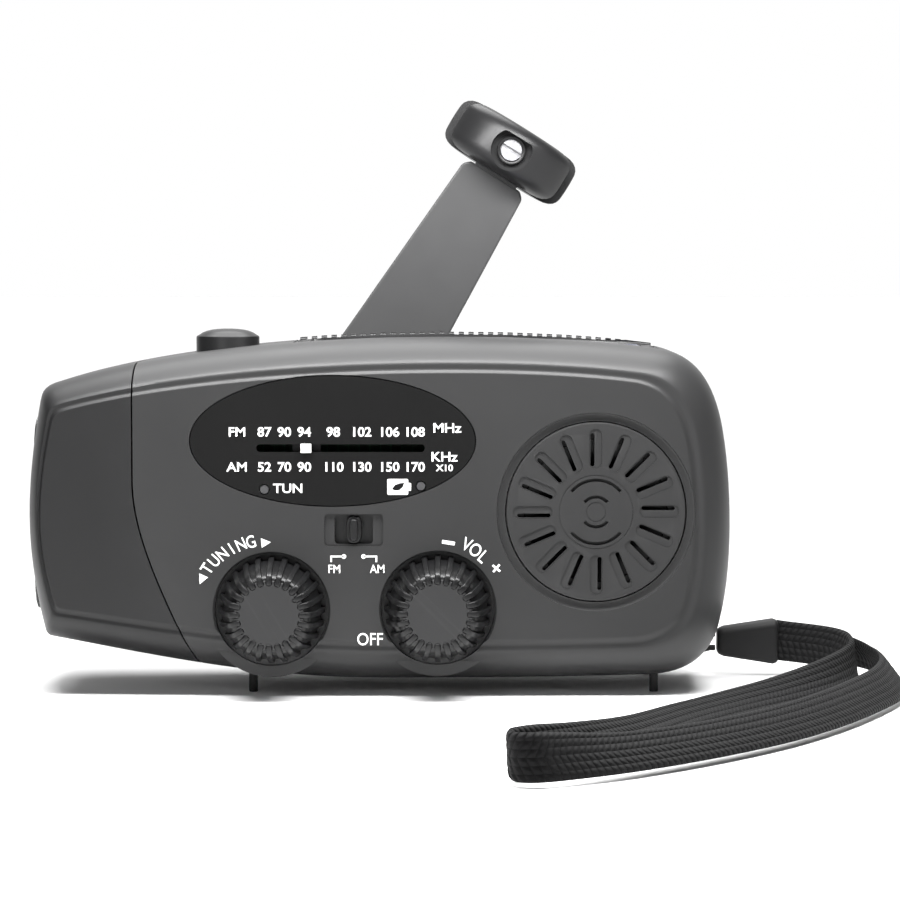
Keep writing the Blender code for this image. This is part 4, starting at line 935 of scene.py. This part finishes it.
def build_dial_print():
    panel = -20.92
    across = (-20.27, -16.74, -13.21, -8.09, -3.15, 1.79, 6.29)
    pieces = []
    for x, fm, am in zip(across, (87, 90, 94, 98, 102, 106, 108), (52, 70, 90, 110, 130, 150, 170)):
        pieces.append(letters(str(fm), x, 47.3, 1.6, panel, narrow=1.06, bold=0.04))
        pieces.append(letters(str(am), x, 41.1, 1.6, panel, narrow=1.06, bold=0.04))
    for word, x, z, height in (
        ("FM", -25.1, 47.3, 1.6), ("AM", -25.1, 41.1, 1.6), ("MHz", 12.0, 48.0, 1.65), ("KHz", 11.5, 42.9, 1.65),
        ("X10", 11.6, 40.95, 1.1), ("TUN", -16.1, 37.3, 1.6),
    ):  # fmt: skip
        pieces.append(letters(word, x, z, height, panel, narrow=1.1, bold=0.03))
    battery = mark(pill(3.3, 37.65, 1.85, 1.4, 0.25, 3), panel)
    leaf = [(2.3, 37.3), (2.7, 37.0), (3.5, 37.0), (4.2, 37.6), (4.5, 38.4), (3.6, 38.3), (2.8, 38.0)]
    cut(battery, extruded("leaf", leaf, -25, -15))
    pieces += [battery, mark(pill(5.35, 37.65, 0.3, 0.7, 0.1, 2), panel)]
    finish_print("dial_print", pieces)


def finish_print(name, pieces):
    ink = joined(name, pieces)
    outward(ink)
    settle(ink)
    smooth(ink, 30, weighted=False)
    dressed(ink, "radio", "white_plastic", WHITE_INK)


def on_arc(text, spot, radius, first, last, height, panel):
    """Letters stood along an arc about spot, from one angle to another, radius easing between ends."""
    made = []
    for i, letter in enumerate(text):
        share = i / (len(text) - 1)
        angle = first + (last - first) * share
        reach = radius[0] + (radius[1] - radius[0]) * share
        t = math.radians(angle)
        x, z = spot[0] + reach * math.cos(t), spot[1] + reach * math.sin(t)
        made.append(letters(letter, x, z, height, panel, turn=90 - angle, narrow=0.8))
    return made


def triangle(spot, radius, angle, way):
    t = math.radians(angle)
    x, z = spot[0] + radius * math.cos(t), spot[1] + radius * math.sin(t)
    ahead = (-math.sin(t) * way, math.cos(t) * way)
    out = (math.cos(t), math.sin(t))
    corners = ((1.0, 0), (-0.7, 0.85), (-0.7, -0.85))
    return [(x + a * ahead[0] + b * out[0], z + a * ahead[1] + b * out[1]) for a, b in corners]


def build_panel_print():
    panel = FRONT
    pieces = on_arc("TUNING", TUNING, (13.5, 12.6), 147.0, 106.5, 2.15, panel)
    pieces += [mark(triangle(TUNING, 13.5, 155.5, 1), panel), mark(triangle(TUNING, 12.1, 95.0, -1), panel)]
    pieces += on_arc("VOL", VOLUME, (12.5, 12.2), 66.0, 49.5, 2.3, panel)
    t = math.radians(81)
    dash = extruded("dash", pill(0, 0, 1.15, 0.33, 0.05, 1), panel - 1.5 * INK, panel - INK / 2)
    dash.rotation_euler = (0, math.radians(9), 0)
    apply_place(dash)
    dash.location = (VOLUME[0] + 12.0 * math.cos(t), 0, VOLUME[1] + 12.0 * math.sin(t))
    pieces.append(apply_place(dash))
    plus_x, plus_z = VOLUME[0] + 12.5 * math.cos(0.61), VOLUME[1] + 12.5 * math.sin(0.61)
    pieces.append(letters("+", plus_x, plus_z, 2.4, panel, 40, bold=0.05))
    pieces.append(letters("OFF", -1.65, 10.45, 2.15, panel, narrow=0.86))
    for sign, word, x in ((-1, "FM", -7.95), (1, "AM", -0.3)):
        stop, turn_x = SWITCH[0] + sign * 1.75, SWITCH[0] + sign * 3.85
        pieces.append(mark(oval(stop, 25.3, 0.42, 0.42, 20), panel))
        low, high = sorted((stop, turn_x))
        pieces.append(mark([(low, 25.15), (high, 25.15), (high, 25.45), (low, 25.45)], panel))
        side = sorted((turn_x, turn_x + 0.3 * sign))
        pieces.append(mark([(side[0], 24.3), (side[1], 24.3), (side[1], 25.45), (side[0], 25.45)], panel))
        pieces.append(letters(word, x, 23.0, 1.45, panel, narrow=0.88))
    finish_print("panel_print", pieces)


build_dial_print()
build_panel_print()


# ---- top -------------------------------------------------------------------------------------
def build_button():
    rings = (
        (7.2, 56.7), (7.2, 57.75), (5.9, 57.8), (5.77, 58.1), (5.77, 63.6), (5.7, 63.82), (5.5, 63.95), (5.2, 64.1),
        (4.6, 64.5), (3.9, 64.78), (3.0, 65.0), (2.0, 65.13), (1.0, 65.19), (0.3, 65.2),
    )  # fmt: skip
    button = lathe("torch_push", rings, 96, UPRIGHT, (BUTTON_X, 0, 0))
    settle(button)
    smooth(button, 32, weighted=False)
    dressed(button, "torch", "dark_trim", BLACK_PLASTIC, "torch_button")


def build_solar_rim():
    """The lid's frame, its back rail cut into a row of short ribs."""
    rim = refined("solar_rim", "solar_frame", "radio", "dark_trim", BLACK_PLASTIC, width=0)
    notch = block("notch", (-0.42 * MM, PLANE + 11.0 * MM, 0.0628), (0.42 * MM, PLANE + 14.0 * MM, 0.0665))
    notch.location = (-13.7 * MM, 0, 0)
    apply_place(notch)
    modify(
        notch, "ARRAY", count=35, use_relative_offset=False, use_constant_offset=True,
        constant_offset_displace=(1.83 * MM, 0, 0),
    )  # fmt: skip
    cut(rim, notch)


build_button()


# ---- crank grip ------------------------------------------------------------------------------
GRIP_REACH, GRIP_DEPTH = 78.2, 34.3  # the grip's centre from the hub's axis, and its depth
EYE_FRONT, EYE_BACK = -6.0, -1.4  # the arm's eye, from the grip's centre


def on_arm(thing, reach=GRIP_REACH, depth=GRIP_DEPTH):
    """From a frame with X along the arm, to that far from the hub's axis and that deep."""
    turn = math.radians(CRANK_ANGLE)
    thing.rotation_euler = (0, -turn, 0)
    apply_place(thing)
    thing.location = (HUB[0] + reach * math.cos(turn), depth, HUB[1] + reach * math.sin(turn))
    return settle(thing)


PIN_REACH, PIN_DEPTH = 8.0, 27.0
ARM_FRONT, ARM_BACK = 1.6, 5.6  # from the fold pin's depth


def build_arm():
    """The tapered bar, its knuckle on the fold pin and the eye that the grip turns on."""
    start, eye = 3.6, GRIP_REACH - PIN_REACH
    shoulder = eye - 5.55
    edge = [(start, -8.6), (start + 1.5, -10.1), (shoulder - 1.2, -6.7), (shoulder, -5.5)]
    arm = extruded("arm_bar", edge + [(x, -z) for x, z in reversed(edge)], ARM_FRONT, ARM_BACK)
    round_edges(arm, 0.45, 2, 40)
    add(arm, block("tongue", (shoulder - 2, ARM_FRONT + 0.2, -4.6), (eye, ARM_BACK - 0.2, 4.6)))
    add(arm, lathe("eye", ((4.7, ARM_FRONT + 0.2), (4.7, ARM_BACK - 0.2)), 64, TO_BACK, (eye, 0, 0)))
    knuckle = lathe("knuckle", ((2.3, -4.4), (2.3, 4.4)), 40, UPRIGHT)
    add(knuckle, block("knuckle_web", (-2.3, 0, -4.4), (start + 1.0, ARM_BACK - 0.1, 4.4)))
    add(arm, knuckle)
    cut(arm, lathe("eye_hole", ((3.3, ARM_FRONT - 1), (3.3, ARM_BACK + 1)), 48, TO_BACK, (eye, 0, 0)))
    cut(arm, lathe("pin_hole", ((1.3, -9), (1.3, 9)), 24, UPRIGHT))
    on_arm(arm, PIN_REACH, PIN_DEPTH)
    smooth(arm, 30)
    dressed(arm, "arm", "dark_trim", CRANK_PLASTIC, "crank_arm")


def grip_disc(name):
    """The whole grip: a thick disc with plump rims, its axis along the arm."""
    half = (
        (0.01, 5.02), (8.5, 5.02), (9.6, 4.98), (10.6, 4.86), (11.5, 4.58), (12.2, 4.1), (12.65, 3.5), (12.88, 2.8),
        (12.95, 2.0), (13.0, 0.7),
    )  # fmt: skip
    profile = [(r, -h) for r, h in half] + [(r, h) for r, h in reversed(half)]
    return lathe(name, profile, 128, (0, math.pi / 2, 0))


def build_grip():
    body = grip_disc("grip_body")
    cut(body, block("ahead_of_arm", (-30, -30, -30), (30, EYE_BACK, 30)))
    add(body, lathe("grip_post", ((3.0, 0.0), (3.0, 7.4)), 48, TO_FRONT))
    cap = grip_disc("grip_cap")
    cut(cap, block("behind_cap", (-30, EYE_FRONT, -30), (30, 30, 30)))
    flat = [(x, z) for x, z in oval(0, 0, 3.95, 3.95, 72) if x < 2.9]
    cut(cap, extruded("screw_recess", flat, -30, -10.6))
    cut(cap, lathe("recess_step", ((3.3, 10.2), (3.3, 12)), 64, TO_FRONT))
    cup = ((2.15, 9.9), (2.15, 11.05), (2.3, 11.15), (2.6, 11.15), (2.75, 11.0), (2.75, 9.9))
    ring = lathe("screw_cup", cup, 64, TO_FRONT)
    head = lathe("grip_screw", ((2.1, 8.0), (2.1, 11.0), (1.95, 11.12)), 64, TO_FRONT)
    cut(head, block("driver_slot", (-0.42, -12, -3), (0.42, -10.5, 3)))
    for piece, slot, material, node in (
        (body, "dark_trim", KNOB_PLASTIC, "crank_knob"),
        (cap, "dark_trim", KNOB_PLASTIC, "crank_knob_cap"),
        (head, "steel", DARK_STEEL, "crank_knob_screw"),
    ):
        on_arm(piece)
        smooth(piece, 35)
        dressed(piece, "knob", slot, material, node)
    on_arm(ring)
    smooth(ring, 40)
    dressed(ring, "knob", "dark_trim", BLACK_PLASTIC)


def dress_node(name, material):
    node = NODES[name]
    node.data.materials.clear()
    node.data.materials.append(material)


def dress_frame():
    """Materials for the nodes that show as they are."""
    for material, names in (
        (WHITE_PLASTIC, ("tuning_capacitor", "battery")),
        (STEEL, (
            "tuning_shaft", "volume_shaft", "volume_potentiometer", "band_switch", "speaker_magnet",
            "torch_switch", "usb_socket", "gear_plate", "dynamo", "gear_screw",
            "case_screw_upper_left", "case_screw_lower_left", "case_screw_upper_right", "case_screw_lower_right",
        )),
        (BOARD, ("main_board", "lamp_board")),
        (NYLON, ("crank_gear", "idler_gear", "dynamo_pinion")),
        (SOLAR, ("solar_panel",)),
        (BLACK_PLASTIC, ("speaker_frame", "ferrite_antenna")),
        (LED_GREY, ("tuning_led", "charge_led")),
    ):  # fmt: skip
        for name in names:
            dress_node(name, material)


dress_frame()

# The pointer's slide is white plastic, coloured black here: painted shade, so the dial's slot reads dark around the
# white bar.
refined("pointer_slide", "dial_pointer", "pointer", "white_plastic", BLACK_PLASTIC, 0)
build_pointer()
build_solar_rim()
refined("lens_front", "lamp_lens", "radio", "clear_plastic", CLEAR, 0.6, segments=3)
refined("reflector_bowls", "lamp_reflector", "radio", "reflector_chrome", CHROME, 0.12)
for level in ("lower", "middle", "upper"):
    refined(f"led_{level}", f"lamp_led_{level}", "radio", "clear_plastic", CLEAR, 0)
refined("socket_flap", "port_cover", "cover", "rubber", RUBBER, 0.3, segments=3)
for corner in ("front_left", "front_right", "back_left", "back_right"):
    refined(f"foot_pad_{corner}", f"foot_{corner}", "radio", "rubber", RUBBER, 0.15)
refined("hub_disc", "crank_hub", "crank", "dark_trim", CRANK_PLASTIC, 0.3, segments=3)
refined("fold_pin", "crank_pin", "crank", "steel", STEEL, 0.15)
build_arm()
build_grip()

# ---- strap -----------------------------------------------------------------------------------
RIBBON_WIDTH, RIBBON_THICKNESS = 7.5, 1.2
CAP_Z = 6.4
# The route that the frame's own strap takes: across, back, and the lean from upright in degrees.
RIBBON_ROUTE = (
    (73.2, 11.5, 12), (81.0, 11.7, 22), (87.2, 7.6, 30), (91.2, -1.5, 34), (92.0, -14.0, 38),
    (89.4, -28.0, 42), (83.8, -42.0, 46), (75.5, -59.0, 48), (65.0, -76.0, 50), (52.0, -92.0, 50),
    (39.0, -105.0, 44), (30.0, -112.0, 26), (25.4, -114.6, 10), (22.4, -113.9, 0), (21.6, -110.8, -4),
    (24.4, -107.2, -14), (32.0, -99.0, -34), (42.0, -83.0, -52), (52.0, -63.0, -60), (61.5, -48.0, -60),
    (71.5, -35.0, -52), (80.0, -22.5, -36), (85.2, -10.0, -18), (86.0, -0.5, 4), (82.6, 6.0, 14),
    (73.2, 10.7, 12),
)  # fmt: skip


def ribbon_height(lean, along):
    half, thick = RIBBON_WIDTH / 2, RIBBON_THICKNESS / 2
    resting = half * math.cos(lean) + thick * abs(math.sin(lean)) + 0.6
    lift = max(0.0, 1 - along / 3.0)
    return resting + (CAP_Z + 0.3 - resting) * lift


def ribbon_line(steps):
    """Smooth points through the route, as (point, lean)."""
    route = [Vector(p) for p in RIBBON_ROUTE]
    last = len(route) - 1
    line = []
    for i in range(last):
        before, here = route[max(i - 1, 0)], route[i]
        there, after = route[i + 1], route[min(i + 2, last)]
        for k in range(steps):
            t = k / steps
            p = 0.5 * (
                2 * here + (there - before) * t
                + (2 * before - 5 * here + 4 * there - after) * t**2
                + (3 * here - before - 3 * there + after) * t**3
            )  # fmt: skip
            line.append((p, min(i + t, last - i - t)))
    line.append((route[-1], 0))
    made = []
    for p, along in line:
        lean = math.radians(p.z)
        made.append((Vector((p.x, p.y, ribbon_height(lean, along))), lean))
    return made


def ribbon_section(count=10):
    """The braid's cross-section as (across, through, share of the way round): flat with plump edges."""
    half, thick = RIBBON_WIDTH / 2, RIBBON_THICKNESS / 2
    one_side = []
    for i in range(count + 1):
        across = -half + 2 * half * i / count
        swell = (1 - abs(across / half) ** 6) ** 0.5 if abs(across) < half else 0.0
        ridge = 0.94 + 0.06 * math.cos(2 * math.pi * 5 * (across / half))
        one_side.append((across, thick * swell * ridge))
    other = [(a, -t) for a, t in reversed(one_side[1:-1])]
    return one_side + other


def build_ribbon():
    line = ribbon_line(8)
    section = ribbon_section(16)
    mesh = bmesh.new()
    uv = mesh.loops.layers.uv.new("along")
    rings = []
    travelled = [0.0]
    for i, (point, lean) in enumerate(line):
        ahead = line[min(i + 1, len(line) - 1)][0] - line[max(i - 1, 0)][0]
        ahead.normalize()
        side = ahead.cross(Vector((0, 0, 1))).normalized()
        up = side.cross(ahead).normalized()
        tall = up * math.cos(lean) + side * math.sin(lean)
        wide = side * math.cos(lean) - up * math.sin(lean)
        if i:
            travelled.append(travelled[-1] + (point - line[i - 1][0]).length)
        rings.append([mesh.verts.new(point + tall * a + wide * t) for a, t in section])
    count = len(section)
    for i, (low, high) in enumerate(zip(rings, rings[1:])):
        for k in range(count):
            j = (k + 1) % count
            face = mesh.faces.new((low[k], low[j], high[j], high[k]))
            spots = ((i, k), (i, k + 1), (i + 1, k + 1), (i + 1, k))
            for loop, (row, column) in zip(face.loops, spots):
                loop[uv].uv = (travelled[row] / 1.25, 2 * column / count)
    mesh.faces.new(rings[0])
    mesh.faces.new(rings[-1])
    bmesh.ops.recalc_face_normals(mesh, faces=mesh.faces)
    data = bpy.data.meshes.new("wrist_ribbon")
    mesh.to_mesh(data)
    mesh.free()
    ribbon = bpy.data.objects.new("wrist_ribbon", data)
    bpy.context.scene.collection.objects.link(ribbon)
    settle(ribbon)
    smooth(ribbon, 50, weighted=False)
    dressed(ribbon, "radio", "strap_webbing", BRAID, "strap_ribbon")
    path = [(p.x * MM, p.y * MM + PLANE, p.z * MM) for p, _ in line]
    return ribbon, path, travelled[-1] * MM


def build_loop():
    radius = 2.0
    start = 62.3
    route = [(start, CAP_Z + 1.3), (start - 1.0, CAP_Z + 1.3)]
    for i in range(17):
        t = math.pi / 2 + math.pi * i / 16
        route.append((58.6 + radius * math.cos(t), 6.4 + radius * math.sin(t)))
    route += [(start - 1.0, CAP_Z - 1.3), (start, CAP_Z - 1.3)]
    data = bpy.data.curves.new("wrist_string", "CURVE")
    data.dimensions = "3D"
    data.bevel_depth = 0.55 * MM
    data.bevel_resolution = 3
    data.use_fill_caps = True
    line = data.splines.new("POLY")
    line.points.add(len(route) - 1)
    for point, (x, z) in zip(line.points, route):
        point.co = (x * MM, 11.0 * MM + PLANE, z * MM, 1)
    string = bpy.data.objects.new("wrist_string", data)
    bpy.context.scene.collection.objects.link(string)
    dressed(string, "radio", "strap_webbing", RUBBER, "strap_loop")
    return string


cap = refined("strap_boot", "strap_cap", "radio", "rubber", RUBBER, 0.5, segments=3)
string = build_loop()
ribbon, ribbon_path, ribbon_length = build_ribbon()


# ---- stage, light and camera -----------------------------------------------------------------
def floor_material():
    made, tree, shader = base_material("pale_floor", (0.86, 0.86, 0.86), 0.75)
    place = tree.nodes.new("ShaderNodeTexCoord")
    mottle = noise(tree, place.outputs["Object"], 3.0, 3.0)
    tint = tree.nodes.new("ShaderNodeValToRGB")
    tint.color_ramp.elements[0].color = (0.93, 0.93, 0.93, 1)
    tint.color_ramp.elements[1].color = (0.95, 0.95, 0.95, 1)
    wire(tree, mottle, tint.inputs["Fac"])
    wire(tree, tint.outputs["Color"], shader.inputs["Base Color"])
    return made


def build_stage():
    bpy.ops.mesh.primitive_plane_add(size=12, location=(0, 0, 0))
    floor = named("floor")
    floor.data.materials.append(floor_material())


def area_light(name, spot, target, size, power, colour=(1, 1, 1), size_y=None):
    bpy.ops.object.light_add(type="AREA", location=spot)
    light = bpy.context.object
    light.name = name
    light.data.energy = power
    light.data.color = colour
    light.data.size = size
    if size_y:
        light.data.shape = "RECTANGLE"
        light.data.size_y = size_y
    light.rotation_euler = (Vector(target) - Vector(spot)).to_track_quat("-Z", "Y").to_euler()
    return light


def studio_walls():
    """A dim studio with a bright wall behind the radio."""
    world = bpy.data.worlds.new("studio")
    bpy.context.scene.world = world
    world.use_nodes = True
    tree = world.node_tree
    heading = tree.nodes.new("ShaderNodeTexCoord")
    split = tree.nodes.new("ShaderNodeSeparateXYZ")
    wire(tree, heading.outputs["Generated"], split.inputs["Vector"])
    ramp = tree.nodes.new("ShaderNodeValToRGB")
    ramp.color_ramp.elements[0].position = 0.45
    ramp.color_ramp.elements[0].color = (0.07, 0.07, 0.07, 1)
    ramp.color_ramp.elements[1].position = 0.9
    ramp.color_ramp.elements[1].color = (1, 1, 1, 1)
    wire(tree, split.outputs["Y"], ramp.inputs["Fac"])
    wire(tree, ramp.outputs["Color"], tree.nodes["Background"].inputs["Color"])
    tree.nodes["Background"].inputs["Strength"].default_value = 1.0


def build_light():
    area_light("key", (0.01, PLANE - 0.062, 0.15), (0.01, PLANE - 0.02, 0.05), 0.2, 0.95, size_y=0.04)
    area_light("front", (-0.35, -0.95, 0.5), (0.0, 0, 0.05), 0.5, 1.6)
    bpy.ops.object.light_add(type="SUN", location=(0, 0.5, 1), rotation=(math.radians(-24), 0, 0))
    sun = bpy.context.object
    sun.name = "overhead"
    sun.data.energy = 3.2
    sun.data.angle = math.radians(50)
    studio_walls()


def build_camera():
    bpy.ops.object.camera_add(
        location=(0.01255, PLANE - 0.572, 0.0777), rotation=(math.radians(90 - 3.48), 0, 0)
    )
    camera = bpy.context.object
    camera.data.lens = 124.93
    camera.data.sensor_width = 36
    camera.data.clip_start = 0.01
    bpy.context.scene.camera = camera


build_stage()
build_light()
build_camera()
bpy.context.scene.view_settings.view_transform = "Standard"
